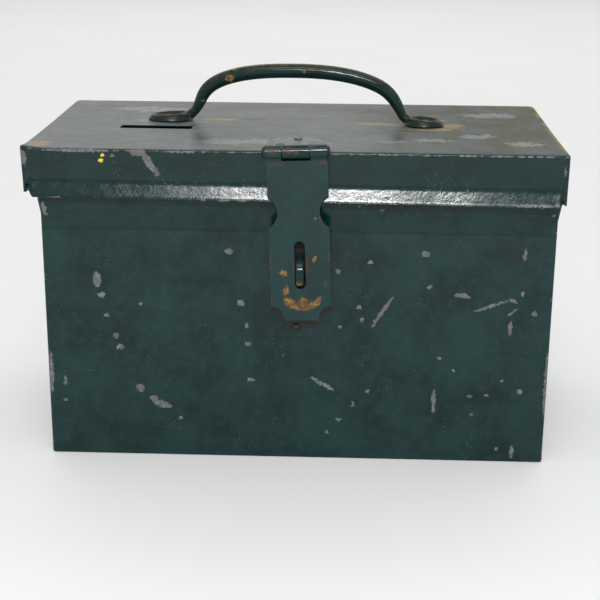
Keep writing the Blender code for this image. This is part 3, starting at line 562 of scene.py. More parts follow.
def chip_off(p, colour, rough, edge_wear, deep, shallow, fine, under):
    """Chips down to grey primer and bare metal: along worn edges, and where they are marked."""
    dark, pale, metal = under
    wear = p.node("ShaderNodeAttribute", attribute_name="wear").outputs["Fac"]
    gate = p.minus(1.02, p.times(wear, edge_wear))
    broken = p.plus(p.noise(5 * MM, 5, 0.7), p.times(fine, 0.12))
    chips = p.step(broken, gate, p.plus(gate, 0.07))
    if deep:
        chips = p.most(chips, p.times(p.blotches(deep), p.forward))
    seen = p.most(chips, p.times(p.blotches(shallow), p.forward)) if shallow else chips
    below = p.mix(p.step(p.noise(3 * MM, 3, 0.6), 0.4, 0.62), dark, pale)
    below = p.mix(p.times(p.step(p.noise(14 * MM), 0.5, 0.65), 0.7), below, metal)
    return p.mix(seen, colour, below), p.blend(seen, rough, 0.5), chips


def enamel(name, deep=(), shallow=(), ochre=(), yellow=(), rust=(), dust=None, outline=None,
           edge_wear=0.5, peel=0.05, under=(PRIMER_DARK, PRIMER, BARE), depth=0, paleness=0,
           crowd=(0.80, 0.70), dusting=1, crease=None, feet=False):
    """Thick enamel: orange peel, mottling, raised nibs whose pale colour is a painted glint, a crease line
    darkened with painted shade, chips to the primer, ochre underpaint and rust.

    deep chips are felt in the surface and shallow ones only seen; crowd is the noise level above which
    nibs stand, from sparse to dense places; depth and paleness darken or lighten the whole coat.
    """
    p = Paint(name)
    cloud = p.noise(34 * MM, 4, 0.6)
    film = p.step(p.noise(8 * MM, 5, 0.7), 0.42, 0.72)
    fine = p.noise(0.6 * MM, 2, 0.5)
    colour = p.mix(p.step(cloud, 0.32, 0.68), GREEN_DARK, GREEN)
    colour = p.mix(p.times(film, 0.5), colour, GREEN_PALE)
    gate = p.blend(p.step(p.noise(22 * MM, 2), 0.45, 0.65), *crowd)
    nibs = p.step(p.noise(1.3 * MM, 1, 0.4), gate, p.plus(gate, 0.05))
    # The nibs' pale colour is a painted glint; their height, added below, is real.
    colour = p.mix(p.times(nibs, 0.7), colour, NIB_GLINT)
    rough = p.blend(film, 0.13, 0.22)
    height = p.times(p.noise(1.7 * MM, 2, 0.55), peel)
    height = p.plus(height, p.times(p.noise(6 * MM, 1), peel * 1.6))
    height = p.plus(height, p.times(nibs, NIB_HEIGHT))
    if outline:
        height = p.plus(height, p.times(old_outline(p, *outline), OUTLINE_HEIGHT))
    if crease:
        # The crease: a groove in the bump, and a darker line along it that is painted shade.
        line = p.step(p.magnitude(p.minus(p.z, crease)), 1.3 * MM, 0.2 * MM)
        height = p.minus(height, p.times(line, CREASE_DEPTH))
        colour = p.mix(p.times(line, 0.35), colour, GREEN_DARK)
    if paleness:
        colour = p.mix(paleness, colour, GREEN_PALE)
    if depth:
        colour = p.mix(depth, colour, GREEN_DARK)
    if dust:
        colour, rough = dust_over(p, colour, rough, *dust, dusting)
    if feet:
        rubbed = p.times(p.upward, p.step(p.noise(6 * MM, 5, 0.7), 0.34, 0.56))
        colour = p.mix(p.times(rubbed, 0.8), colour, OLIVE_DARK)
        low = p.step(p.z, LID_TOP + 10 * MM, LID_TOP + 4.5 * MM)
        colour = p.mix(p.times(low, p.blend(film, 0.7, 1)), colour, FOOT_STAIN)
        rough = p.blend(low, rough, 0.34)
    colour, rough, chips = chip_off(p, colour, rough, edge_wear, deep, shallow, fine, under)
    height = p.minus(height, p.times(chips, CHIP_DEPTH))
    outward = 1 if feet else p.most(p.forward, p.upward)
    if ochre:
        gone = p.times(p.blotches(ochre, ragged=2.6 * MM, grain=2.4 * MM, edge=0.3), outward)
        tone = p.mix(p.step(p.noise(1.6 * MM, 3, 0.6), 0.38, 0.6), OCHRE_DARK, OCHRE)
        colour = p.mix(p.times(gone, p.step(p.noise(2.2 * MM, 4, 0.65), 0.40, 0.46)), colour, tone)
        rough = p.blend(gone, rough, 0.55)
        height = p.minus(height, p.times(gone, OCHRE_DEPTH))
    if yellow:
        daub = p.times(p.blotches(yellow, ragged=1.2 * MM, grain=1.6 * MM), p.forward)
        colour = p.mix(daub, colour, YELLOW)
    if rust:
        brown = p.blotches(rust, ragged=2.4 * MM, grain=2.2 * MM, edge=0.5)
        brown = p.times(brown, p.step(p.noise(1.5 * MM, 4, 0.7), 0.38, 0.56), outward)
        colour = p.mix(p.times(brown, 0.8), colour, RUST)
        rough = p.blend(brown, rough, 0.42)
    return p.finish(colour, rough, height, ENAMEL_SPECULAR)


def old_outline(p, centre_x, centre_z, half_width, half_height, corner):
    """A faint ridge in the paint, along a rounded rectangle on the front."""
    across = p.magnitude(p.minus(p.x, centre_x))
    along = p.magnitude(p.minus(p.z, centre_z))
    u = p.most(p.minus(across, half_width - corner), 0)
    v = p.most(p.minus(along, half_height - corner), 0)
    reach = p.math("SQRT", p.plus(p.times(u, u), p.times(v, v)))
    return p.step(p.magnitude(p.minus(reach, corner)), 1.1 * MM, 0.1 * MM)


def shaded_brown_steel(name):
    """Bare steel, browned and darkened nearly to black with painted shade from the strap over it, with
    darker pits.
    """
    p = Paint(name)
    cloud = p.noise(3 * MM, 5, 0.7)
    # Near-black browns: the steel's own brown, darkened with painted shade from the strap that hangs over
    # it.
    colour = p.mix(p.step(cloud, 0.35, 0.65), (0.008, 0.0085, 0.008), (0.026, 0.0215, 0.0195))
    p.shader.inputs["Metallic"].default_value = 0.3
    return p.finish(colour, p.blend(cloud, 0.42, 0.66), p.times(cloud, 0.08))


def worn_edge_and_highlight(name):
    """The strap's rubbed arrises: enamel broken by brown metal and by pale metal, whose paleness is a
    painted highlight.
    """
    p = Paint(name)
    patch = p.step(p.noise(7 * MM, 5, 0.65), 0.36, 0.48)
    # Pale pinkish bare metal on real wear; its paleness is a painted highlight.
    metal_sheen = p.step(p.noise(1.8 * MM, 3, 0.6), 0.36, 0.56)
    colour = p.mix(patch, GREEN_PALE, p.mix(metal_sheen, (0.13, 0.066, 0.050), (0.56, 0.45, 0.40)))
    return p.finish(colour, p.blend(patch, 0.3, 0.4), p.times(p.noise(1.2 * MM), 0.03))


def dark_steel(name):
    """Dark pin steel with traces of green."""
    p = Paint(name)
    patch = p.step(p.noise(2.5 * MM, 4, 0.6), 0.45, 0.6)
    colour = p.mix(patch, (0.010, 0.011, 0.011), (0.008, 0.022, 0.020))
    p.shader.inputs["Metallic"].default_value = 0.2
    return p.finish(colour, p.blend(patch, 0.35, 0.5), p.times(p.noise(0.9 * MM), 0.03))


# Chips on the body's front, knocked right through the paint: x, z, half width, half height, turn.
BODY_DEEP = [
    (-139, 131, 3.2, 6.2), (-136, 120, 3, 2.4), (-133, 105, 2.2, 1.6, 20), (-127, 90, 2, 2.6),
    (-124, 82, 2.8, 2.4), (-47, 153, 3, 2.4), (-39, 116, 2.8, 2.4), (-34, 86, 2.4, 1.6),
    (-32, 59, 2.6, 1.8), (-111, 51, 3.2, 3.4, 20), (-95, 39, 7, 2.8, 14), (-101, 43, 3, 2.8),
    (88, 153, 3.4, 2), (50, 147, 1.7, 1.5), (28, 140, 1.8, 1.9), (155, 154, 1.2, 4.6, 8),
    (91, 130, 2.2, 1.5), (114, 124, 6, 2, 8), (59, 111, 1.4, 15, 32), (164, 112, 2, 2.1),
    (18, 57, 11, 1.6, 30), (97, 46, 1.7, 10), (157, 54, 2.1, 2.4), (122, 50, 2.1, 1.1),
]
# Lighter scrapes and rubbed places on the body's front.
BODY_SHALLOW = [
    (-109, 114, 1.4, 1.1), (-35, 99, 1.5, 2.2), (-82, 29, 1.8, 1.3), (-164, 56, 1.2, 4.6),
    (-165, 41, 1.6, 1.4), (-174, 62, 1.8, 17), (-173, 181, 2, 6, -14), (134, 117, 13.5, 1.1, -20),
    (149, 121, 3.4, 1.2, 25), (155, 126, 1.1, 1.8), (149, 113, 4.6, 1.2, -42), (43, 114, 1.7, 1.9),
    (45, 105, 1.5, 1.5), (30, 100, 1.4, 1.4), (148, 101, 1.4, 5.6), (50, 52, 1.6, 1.3),
    (40, 42, 1.2, 2.2), (30, 30, 2.2, 1.1), (22, 20, 1.1, 1.1), (134, 51, 1.8, 1.1), (144, 62, 1.1, 1.1),
    (110, 69, 1.2, 1.1), (100, 78, 1.4, 1.1), (124, 36, 1.5, 1.1), (154, 8, 1.5, 5.5),
    (143, 10, 1.1, 1.6), (175, 60, 1.4, 26), (173, 182, 1.3, 1.1), (41, 186, 0.9, 0.9),
    (57, 184, 1.6, 0.9),
]
BODY_OUTLINE = (-1 * MM, 121 * MM, 24 * MM, 28.5 * MM, 7 * MM)
LID_DEEP = [
    (-107, 222, 6, 2.6), (-100, 216, 2.6, 9.5, -32), (-94.5, 209, 1.8, 3.4, -10),
    (-184, 217, 2.2, 5.5), (-163, 191.5, 5.6, 1.2), (-50, 191, 4.2, 1.2),
]
LID_SHALLOW = [
    (-147, 222.8, 20, 1.3), (-78, 222.8, 11, 0.9), (-63, 191, 2.2, 1.2), (-37, 191, 3.6, 1.2),
    (157, 190.6, 20, 1.1), (177.2, 213, 0.8, 4), (-124, 219.5, 1.6, 0.8, -20),
]
LID_YELLOW = [(-130.6, 219.8, 1.5, 1.3), (-131.8, 216.2, 1.9, 1.6)]
# Places on the lid's top: x, y, half width, half depth, turn.
TOP_PALE = [
    (140, 50, 26, 12), (124, -36, 16, 9), (154, -64, 14, 9), (62, -60, 16, 6), (92, -54, 16, 6),
    (-120, 60, 34, 12), (-40, -66, 50, 9), (-1.2, -80, 25, 31),
]
TOP_OLIVE = [
    (166, -25, 14, 18), (164, 36, 8, 26), (138, 4, 22, 15), (-45, 18, 56, 4, 4), (60, 62, 60, 14),
    (136, -64, 18, 9), (176, 70, 8, 26),
]
TOP_TAN = [
    (54, 8, 18, 7, -3), (110, 6, 9, 12), (92, -10, 20, 7, -3), (92, 26, 18, 6, -3), (-64, 18, 16, 6, -3),
    (-117, 14, 8, 10), (-177, -86, 9, 16), (154, -62, 11, 7), (132, 100, 52, 7), (-170, 99, 14, 8),
    (-2.5, -50, 3, 5), (-13, -71, 2.2, 4),
]
STRAP_OCHRE = [
    (-9, 141.8, 3, 2.4, 20), (-7.3, 129.5, 2, 3.8, 12), (12.2, 152.2, 1.3, 2.3, 20),
    (12.3, 180.4, 0.8, 1.3), (-4.6, 121.5, 4.2, 3.2, 30), (3.5, 118, 8, 2.6),
    (11.4, 120, 4.2, 2.2, -25), (15, 122.5, 1.7, 3.6, 15), (4.5, 122.5, 3, 2.8),
]
STRAP_RUST = [
    (4.5, 119.5, 7.5, 4.4), (-2.2, 147.5, 1, 5.5), (6.9, 147.5, 1.2, 6), (-18.6, 139, 1, 18, 2),
    (22, 156, 1, 6, 2), (19.4, 134.5, 0.9, 2.4), (-17, 226.5, 4.5, 3.4),
    (18, 218.5, 4.5, 1.4, -14), (-14, 216.5, 5, 1), (15.5, 180, 1.2, 3.5), (-17.8, 122, 0.9, 5),
]
LEAF_RUST = [(-6.4, 226.2, 3.8, 2.6), (-1, 225.2, 2, 1.6)]
STAPLE_OCHRE = [(1.8, 135.2, 2.6, 3.6)]
# Chips on the grip, in the handle's own frame: x, y, z, size.
GRIP_CHIPS = [(-71, -4.5, 239.5, 1.5), (-51, -4.4, 256.5, 2.8), (4, -4.8, 263, 1.3)]


def handle_ochre():
    """Ochre in the dish of each foot and at its rim, and a few chips on the grip."""
    marks = []
    for centre, half_length in zip(FOOT_CENTRES, FOOT_HALF_LENGTHS):
        dish = (half_length * 0.62, FOOT_HALF_WIDTH * 0.62, 2.2 * MM)
        marks.append((Vector((centre, 0, FOOT_SEAT + FOOT_DISH)), dish))
        for share in (-1.05, 1.05):
            rim = Vector((centre + share * half_length, -2 * MM, FOOT_SEAT))
            marks.append((rim, (3.4 * MM, 6 * MM, 2.4 * MM)))
    for x, y, z, size in GRIP_CHIPS:
        chip = (size * 1.3 * MM, size * 1.5 * MM, size * MM)
        marks.append((Vector((x * MM, y * MM, z * MM)), chip))
    return [(handle_frame() @ place, half, (0, 0, 0)) for place, half in marks]


def make_materials():
    hasp_y = HASP_PIN.y + STRAP_FRONT
    crown_y = BODY_FRONT - STAPLE_REACH
    dust = tuple(on_top(LID_TOP, marks) for marks in (TOP_PALE, TOP_OLIVE, TOP_TAN))
    return {
        "body": enamel("body_enamel", on_front(BODY_FRONT, BODY_DEEP), on_front(BODY_FRONT, BODY_SHALLOW),
                       outline=BODY_OUTLINE, crease=CREASE),
        "panel": enamel("panel_enamel"),
        "lid": enamel("lid_enamel", on_front(LID_FRONT, LID_DEEP), on_front(LID_FRONT, LID_SHALLOW),
                      yellow=on_front(LID_FRONT, LID_YELLOW), dust=dust, crowd=(0.74, 0.62), depth=0.4),
        "handle": enamel("handle_enamel", ochre=handle_ochre(), edge_wear=0.62, peel=0.03, depth=0.45,
                         under=(OLIVE_DARK, OLIVE, TAN), feet=True),
        "strap": enamel("strap_enamel", ochre=on_front(hasp_y, STRAP_OCHRE),
                        rust=on_front(hasp_y, STRAP_RUST), peel=0.03, paleness=0.35),
        "leaf": enamel("leaf_enamel", rust=on_front(hasp_y, LEAF_RUST), dust=dust, peel=0.03,
                       dusting=0.55),
        "staple": enamel("staple_enamel", ochre=on_front(crown_y, STAPLE_OCHRE), peel=0.03),
        "edge": worn_edge_and_highlight("worn_edge_and_highlight"),
        "brown": shaded_brown_steel("shaded_brown_steel"),
        "pin": dark_steel("pin_steel"),
    }


# --- body -------------------------------------------------------------------------------------
BODY_DENTS = [
    (-0.115, 0.045, 0.030, 0.022, 0.9 * MM), (-0.062, 0.052, 0.026, 0.028, -0.7 * MM),
    (0.035, 0.060, 0.050, 0.030, 0.7 * MM), (0.120, 0.075, 0.034, 0.040, -0.6 * MM),
    (-0.140, 0.105, 0.030, 0.040, 0.5 * MM), (0.085, 0.022, 0.036, 0.016, 0.6 * MM),
    (-0.020, 0.028, 0.028, 0.016, 0.5 * MM),
]


def body_path():
    """Plan of the body's outer face: (x, y, outward x, outward y, distance to a front corner)."""
    w, r = BODY_HALF_WIDTH, BODY_CORNER
    front, back = BODY_FRONT, BODY_BACK - SHEET - GAP
    fine = (1.5 * MM, 3 * MM, 4.5 * MM, 6 * MM, 9 * MM)

    def side(x, nx, start, end):
        ys = spread(start, end, 5 * MM, fine)[1:-1]
        return [(x, y, nx, 0, min(abs(y - start), abs(y - end))) for y in ys]

    path = [(x, back, 0, 1, 0) for x in spread(-w + REAR_FLANGE, -w + r, 4 * MM)[:-1]]
    path += round_corner((-w + r, back - r), r, 90, 8, 0)
    path += side(-w, -1, back - r, front + r)
    path += round_corner((-w + r, front + r), r, 180, 8, 0)
    for x in spread(-w + r, w - r, 4.5 * MM, fine)[1:-1]:
        path.append((x, front, 0, -1, w - r - abs(x)))
    path += round_corner((w - r, front + r), r, 270, 8, 0)
    path += side(w, 1, front + r, back - r)
    path += round_corner((w - r, back - r), r, 0, 8, 0)
    path += [(x, back, 0, 1, 0) for x in spread(w - r, w - REAR_FLANGE, 4 * MM)[1:]]
    return path


def body_levels():
    """Heights of the rows with their outward lean."""
    r = BODY_FOOT_ROLL
    levels = []
    for angle in (90, 67.5, 45, 22.5, 0):
        a = radians(angle)
        levels.append((r - r * sin(a), -(r - r * cos(a))))
    levels += [(z, 0) for z in spread(r, CREASE - 1 * MM, 4.5 * MM)[1:]]
    levels.append((CREASE, 0))
    for share in (0.08, 0.25, 0.45, 0.65, 0.85, 0.95):
        levels.append((CREASE + (FLARE_END - CREASE) * share, FLARE_OUT * share))
    levels.append((FLARE_END + 0.8 * MM, FLARE_OUT))
    levels += [(z, FLARE_OUT) for z in spread(FLARE_END + 3 * MM, BODY_RIM, 4.5 * MM)]
    return levels


def climb(z):
    """How strongly a row takes part in the crease's climb towards the corners."""
    if z <= CREASE:
        return smooth(z, CREASE - 30 * MM, CREASE)
    return max(0, (FLARE_END - z) / (FLARE_END - CREASE))


def make_body(paints):
    rows = []
    rear = BODY_BACK - SHEET - GAP
    for z, out in body_levels():
        row = []
        for x, y, nx, ny, distance in body_path():
            lift = CREASE_CLIMB * (1 - smooth(distance, 0, CREASE_RUN)) * climb(z)
            at_rear = y > rear - BODY_CORNER - GAP
            deep = 0 if at_rear and out > 0 else ny * out
            point = Vector((x + nx * out, y + deep, z + lift))
            calm = smooth(distance, 0, 22 * MM) * smooth(z, 2 * MM, 22 * MM)
            calm *= smooth(z, BODY_RIM, BODY_RIM - 26 * MM)
            depth = WALL_WAVE * ripple(point, 62 * MM, 3.1) + WALL_RIPPLE * ripple(point, 24 * MM, 7.7)
            if ny < -0.9:
                depth += dents(x, z, BODY_DENTS)
            point -= Vector((nx, ny, 0)) * (depth * calm)
            bend = 0 if ny in (-1, 1) or nx in (-1, 1) else BEND_WEAR
            foot = FOLD_WEAR * (1 - smooth(z, 0, 3 * MM))
            row.append((point, max(bend, foot)))
        rows.append(row)
    piece = sheet_metal("body_sheet", rows, -Y_AXIS)
    settle(piece, [paints["body"]], "body_wrapper")


def sheet_metal(name, rows, direction):
    """One sheet with a given outer face, thickened inwards."""
    bm = bmesh.new()
    skin(bm, rows, closed=False)
    face_outwards(bm, direction)
    piece = new_object(name, bm)
    thicken(piece)
    return piece


def make_back(paints):
    """Back panel: one slightly uneven sheet with eased edges."""
    low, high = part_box("back_panel")
    rows = []
    for z in spread(low.z, high.z, 6 * MM, (1.5 * MM,)):
        row = []
        for x in spread(low.x, high.x, 6 * MM, (1.5 * MM,)):
            margin = min(x - low.x, high.x - x, z - low.z, high.z - z)
            point = Vector((x, high.y, z))
            hollow = 0.5 + 0.5 * ripple(point, 70 * MM, 9.2)
            point.y -= PANEL_HOLLOW * hollow * smooth(margin, 0, 30 * MM)
            row.append((point, 0.6 * (1 - smooth(margin, 0, 2.5 * MM))))
        rows.append(row)
    settle(sheet_metal("back_sheet", rows, Y_AXIS), [paints["panel"]], "back_panel")


# --- lid --------------------------------------------------------------------------------------
LID_DENTS = [
    (-0.120, 0.050, 0.045, 0.030, 0.5 * MM), (0.060, -0.045, 0.060, 0.026, 0.45 * MM),
    (0.135, 0.045, 0.034, 0.034, -0.3 * MM), (-0.060, -0.060, 0.050, 0.020, 0.35 * MM),
    (0.000, 0.060, 0.070, 0.026, 0.4 * MM),
]
INSET = 12 * MM                # border of the lid's top, outside its plain grid


def lid_path():
    """Plan of the lid's outer face: (x, y, outward x, outward y, kind), kind being front, tab or skirt."""
    low, high = LID_LOW, LID_HIGH
    f, b = LID_FRONT_CORNER, LID_REAR_CORNER
    left, right = low.x + FLAP_LEFT, high.x - FLAP_RIGHT
    grid_x = spread(low.x + INSET, high.x - INSET, 5 * MM)
    grid_y = spread(LID_FRONT + INSET, high.y - INSET, 5 * MM)
    near = [left + d * MM for d in (0, 0.4, 1, 1.8, 2.8, 4, 5.4, 7)]
    far = [right - d * MM for d in (6, 5, 3.8, 2.7, 1.7, 0.9, 0.3, 0)]
    path = round_corner((low.x + f, LID_FRONT + f), f, 180, 6, "tab")
    path.append((left, LID_FRONT, 0, -1, "tab"))
    path += [(x, LID_FRONT, 0, -1, "front") for x in near + grid_x + far]
    path.append((right, LID_FRONT, 0, -1, "tab"))
    path += round_corner((high.x - f, LID_FRONT + f), f, 270, 6, "tab")
    path += [(high.x, y, 1, 0, "skirt") for y in grid_y]
    path += round_corner((high.x - b, high.y - b), b, 0, 10, "skirt")
    path += [(x, high.y, 0, 1, "skirt") for x in reversed(grid_x)]
    path += round_corner((low.x + b, high.y - b), b, 90, 10, "skirt")
    path += [(low.x, y, -1, 0, "skirt") for y in reversed(grid_y)]
    return path, grid_x, grid_y


def lip_rows():
    """Height and outward reach of the front skirt, from below the fold to the end of the rolled hem."""
    rows = [(z, 0) for z in spread(LID_TOP - 2.6 * MM, LIP_START, 2.4 * MM)]
    knee = LIP_START - LIP_BREAK
    for share in (0.25, 0.5, 0.75, 1):
        rows.append((LIP_START - knee * share, 0.85 * MM * share * share))
    for share in (0.2, 0.4, 0.6, 0.8, 1):
        reach = 0.85 * MM + (LIP_OUT - 0.45 * MM - 0.85 * MM) * share
        rows.append((LIP_BREAK + (LIP_FOOT - LIP_BREAK) * share, reach))
    r = HEM_RADIUS
    centre = (LIP_OUT - r, LIP_FOOT - 0.9 * MM)
    for angle in (35, 12, -10, -32, -55, -80, -105, -130, -155):
        a = radians(angle)
        rows.append((centre[1] + r * sin(a), centre[0] + r * cos(a)))
    return rows


def flap_cut(x):
    """How much of the front skirt's length is left at its rounded or clipped lower corners."""
    left = x - (LID_LOW.x + FLAP_LEFT)
    right = (LID_HIGH.x - FLAP_RIGHT) - x
    clipped = 8 * MM * max(0, 1 - left / (5 * MM))
    radius = 5 * MM
    rounded = radius - sqrt(max(0, radius ** 2 - max(0, radius - right) ** 2))
    return max(clipped, rounded)


def lid_unevenness(x, y):
    point = Vector((x, y, 0))
    margin = min(x - LID_LOW.x, LID_HIGH.x - x, y - LID_FRONT, LID_HIGH.y - y)
    depth = dents(x, y, LID_DENTS) + 0.3 * MM * ripple(point, 55 * MM, 5.5)
    return depth * smooth(margin, 4 * MM, 26 * MM)


def lid_top_rows(path, grid_x, grid_y):
    """Rows from the plain grid's border out to the start of the fold."""
    r = LID_FOLD
    rows = []
    for share in (0, 0.35, 0.7, 0.9, 1):
        row = []
        wear = TOP_WEAR + 0.4 * smooth(share, 0.8, 1)
        for x, y, nx, ny, _ in path:
            inner_x = min(max(x, grid_x[0]), grid_x[-1])
            inner_y = min(max(y, grid_y[0]), grid_y[-1])
            px = inner_x + (x - nx * r - inner_x) * share
            py = inner_y + (y - ny * r - inner_y) * share
            row.append((Vector((px, py, LID_TOP - lid_unevenness(px, py))), wear))
        rows.append(row)
    return rows


def fold_rows(path):
    """The lid's top edge, rolled over by a quarter turn."""
    r = LID_FOLD
    rows = []
    for angle in (72, 54, 36, 18, 0):
        a = radians(angle)
        inset = r - r * cos(a)
        row = []
        for x, y, nx, ny, kind in path:
            back = FLAP_SETBACK * cos(a) if kind == "tab" else 0
            point = Vector((x - nx * inset, y - ny * inset + back, LID_TOP - r + r * sin(a)))
            # Heavy wear on the lower bend of the front and rear folds, also a painted highlight along
            # them.
            row.append((point, FRONT_FOLD_WEAR_AND_HIGHLIGHT if abs(ny) > 0.5 and angle < 40 else FOLD_WEAR))
        rows.append(row)
    return rows


def front_skirt(x, y, z, out, last):
    """A point of the front skirt with the finger lip, and its wear; last is the lip's lowest height."""
    cut = flap_cut(x)
    knee = LIP_START + 3 * MM
    shrink = 1 - cut / (knee - last)
    height = z if z > knee else knee - (knee - z) * shrink
    point = Vector((x, y - out * (1 - smooth(cut, 0, 6 * MM)), height))
    wave = 0.35 * MM * ripple(Vector((x, 0, 0)), 34 * MM, 2.4)
    point.y -= wave * smooth(z, LID_TOP - 3 * MM, LIP_START)
    worn = 0.75 * smooth(height, last + 3.6 * MM, last + 1.2 * MM)
    return point, worn + 0.5 * smooth(cut, 0.5 * MM, 3 * MM)


def plain_skirt(x, y, nx, ny, z, kind):
    """A point of the side or rear skirt, which leans in and waves a little, and its wear."""
    down = smooth(z, LID_TOP, LID_SKIRT)
    lean = SKIRT_LEAN * down * (1 if x < 0 else 0.3)
    sag = 0.3 * MM * ripple(Vector((x, y, 0)), 40 * MM, 8.3) * down
    point = Vector((x - nx * lean - nx * sag, y + (FLAP_SETBACK if kind == "tab" else 0), z))
    if kind == "skirt" and ny > 0.9:
        point.y -= 0.2 * MM
    worn = FOLD_WEAR * smooth(z, LID_SKIRT + 2 * MM, LID_SKIRT) + (FOLD_WEAR if kind == "tab" else 0)
    return point, worn


def skirt_rows(path):
    """The skirts below the fold: plain at the sides and the back, with the finger lip in front."""
    rows = []
    lip = lip_rows()
    first, last = lip[0][0], min(z for z, _ in lip)
    for number, (z, out) in enumerate(lip):
        row = []
        plain = first + (LID_SKIRT - first) * number / (len(lip) - 1)
        for x, y, nx, ny, kind in path:
            if kind == "front":
                point, worn = front_skirt(x, y, z, out, last)
            else:
                point, worn = plain_skirt(x, y, nx, ny, plain, kind)
            row.append((point, min(worn, 0.8)))
        rows.append(row)
    return rows


def out_of_true(point):
    """The real lid's distortion: a skirt deeper at the right, a top that rises a little to the rear."""
    x, y, z = point
    low, high = LID_LOW, LID_HIGH
    depth = min(1.2, max(0, (LID_TOP - LID_FOLD - z) / (LID_TOP - LID_SKIRT)))
    share = (x - low.x) / (high.x - low.x)
    at_front = smooth(y, high.y - 15 * MM, LID_FRONT + 20 * MM)
    on_side = smooth(x, high.x - 3 * MM, high.x - 1 * MM) * smooth(z, LID_TOP, LID_SKIRT)
    drop = (SKIRT_DROP * share + 1.2 * MM * on_side) * depth * at_front
    near_corner = exp(-((x - low.x) / (9 * MM)) ** 2 - ((y - LID_FRONT) / (13 * MM)) ** 2)
    lift = TOP_RISE * smooth(y, -20 * MM, high.y - 6 * MM) + CORNER_LIFT * near_corner
    lift *= 1 - min(1, depth)
    wider = 0.8 * MM + 1.3 * MM * smooth(y, LID_FRONT, high.y)
    wider *= smooth(x, high.x - 34 * MM, high.x - 2 * MM)
    return Vector((x + wider, y, z - drop + lift))


def make_lid(paints):
    path, grid_x, grid_y = lid_path()
    bm = bmesh.new()
    skin(bm, lid_top_rows(path, grid_x, grid_y) + fold_rows(path) + skirt_rows(path), closed=True)
    top = [[(Vector((x, y, LID_TOP - lid_unevenness(x, y))), TOP_WEAR) for x in grid_x] for y in grid_y]
    skin(bm, top, closed=False)
    bmesh.ops.remove_doubles(bm, verts=bm.verts, dist=0.01 * MM)
    for vert in bm.verts:
        vert.co = out_of_true(vert.co)
    bmesh.ops.recalc_face_normals(bm, faces=bm.faces)
    face_outwards(bm, Z_AXIS)
    piece = new_object("lid_sheet", bm)
    thicken(piece)
    (x0, y0), (x1, y1) = COIN_SLOT
    r = 1.2 * MM
    centres = [(x1 - r, y1 - r), (x0 + r, y1 - r), (x0 + r, y0 + r), (x1 - r, y0 + r)]
    outline = []
    for centre, start in zip(centres, (0, 90, 180, 270)):
        outline += arc(centre, (r, r), start, start + 90, 5)
    boolean(piece, "DIFFERENCE", prism, outline, LID_TOP - 5 * MM, LID_TOP + 5 * MM, "Z")
    settle(piece, [paints["lid"]], "lid_shell")


# --- handle -----------------------------------------------------------------------------------
def handle_frame():
    return Matrix.Translation(HANDLE_CENTRE) @ Matrix.Rotation(HANDLE_SKEW, 4, "Z")


def handle_half(side, power, lean, flare):
    """One side of the grip's centre line from inside its foot up to the crown: (x, z, radius)."""
    rise = HANDLE_CROWN - HANDLE_BASE
    root = HANDLE_HALF_SPAN - lean + flare
    half = [(root + x * MM, FOOT_SEAT + z * MM, radius * MM) for x, z, radius in NECK]
    for i in range(1, HANDLE_STEPS + 1):
        a = pi / 2 * i / HANDLE_STEPS
        height = sin(a) ** (2 / power)
        above = HANDLE_BASE + rise * height - FOOT_SEAT
        if above < NECK_START:
            continue
        x = HANDLE_HALF_SPAN * cos(a) ** (2 / power) - lean * smooth(height, 0.8, 0.35)
        x += flare * smooth(above, 15 * MM, 3 * MM)
        radius = NECK_RADIUS + (GRIP_RADIUS - NECK_RADIUS) * height * (2 - height)
        radius = max(radius, 3.5 * MM * smooth(above, 12 * MM, 6 * MM))
        half.append((x, HANDLE_BASE + rise * height, radius))
    return [(side * x, z, radius) for x, z, radius in half]


def handle_line():
    """Stations of the whole grip, for sweep()."""
    asks = zip((-1, 1), HANDLE_POWERS, HANDLE_LEANS, HANDLE_FLARES)
    left, right = (handle_half(*ask) for ask in asks)
    points = left + right[-2::-1]
    line = []
    for i, (x, z, radius) in enumerate(points):
        before, after = points[max(0, i - 1)], points[min(len(points) - 1, i + 1)]
        along = Vector((after[0] - before[0], 0, after[1] - before[1])).normalized()
        sway = 0.25 * MM * ripple(Vector((x, z, 0)), 26 * MM, 1.9)
        line.append((Vector((x, sway, z)), Y_AXIS, along.cross(Y_AXIS), radius))
    return line


def add_foot(bm, centre, half_length):
    """One dished oval foot, its rim uneven and higher towards the neck."""
    foot = bmesh.new()
    profile = [(reach, height * FOOT_HEIGHT) for reach, height in FOOT_RIM]
    profile = [(0, FOOT_DISH), (0.46, FOOT_DISH)] + profile + [(0.99, 0), (0, 0)]
    lathe(foot, profile, 64, Matrix.Diagonal((half_length, FOOT_HALF_WIDTH, 1, 1)))
    for vert in foot.verts:
        inwards = -copysign(1, centre) * vert.co.x / half_length
        vert.co.z *= 1 + 0.22 * inwards + 0.10 * ripple(vert.co, 7 * MM, 3.1)
        vert.co += Vector((centre, 0, FOOT_SEAT))
    mesh = bpy.data.meshes.new("foot")
    foot.to_mesh(mesh)
    foot.free()
    bm.from_mesh(mesh)
    bpy.data.meshes.remove(mesh)


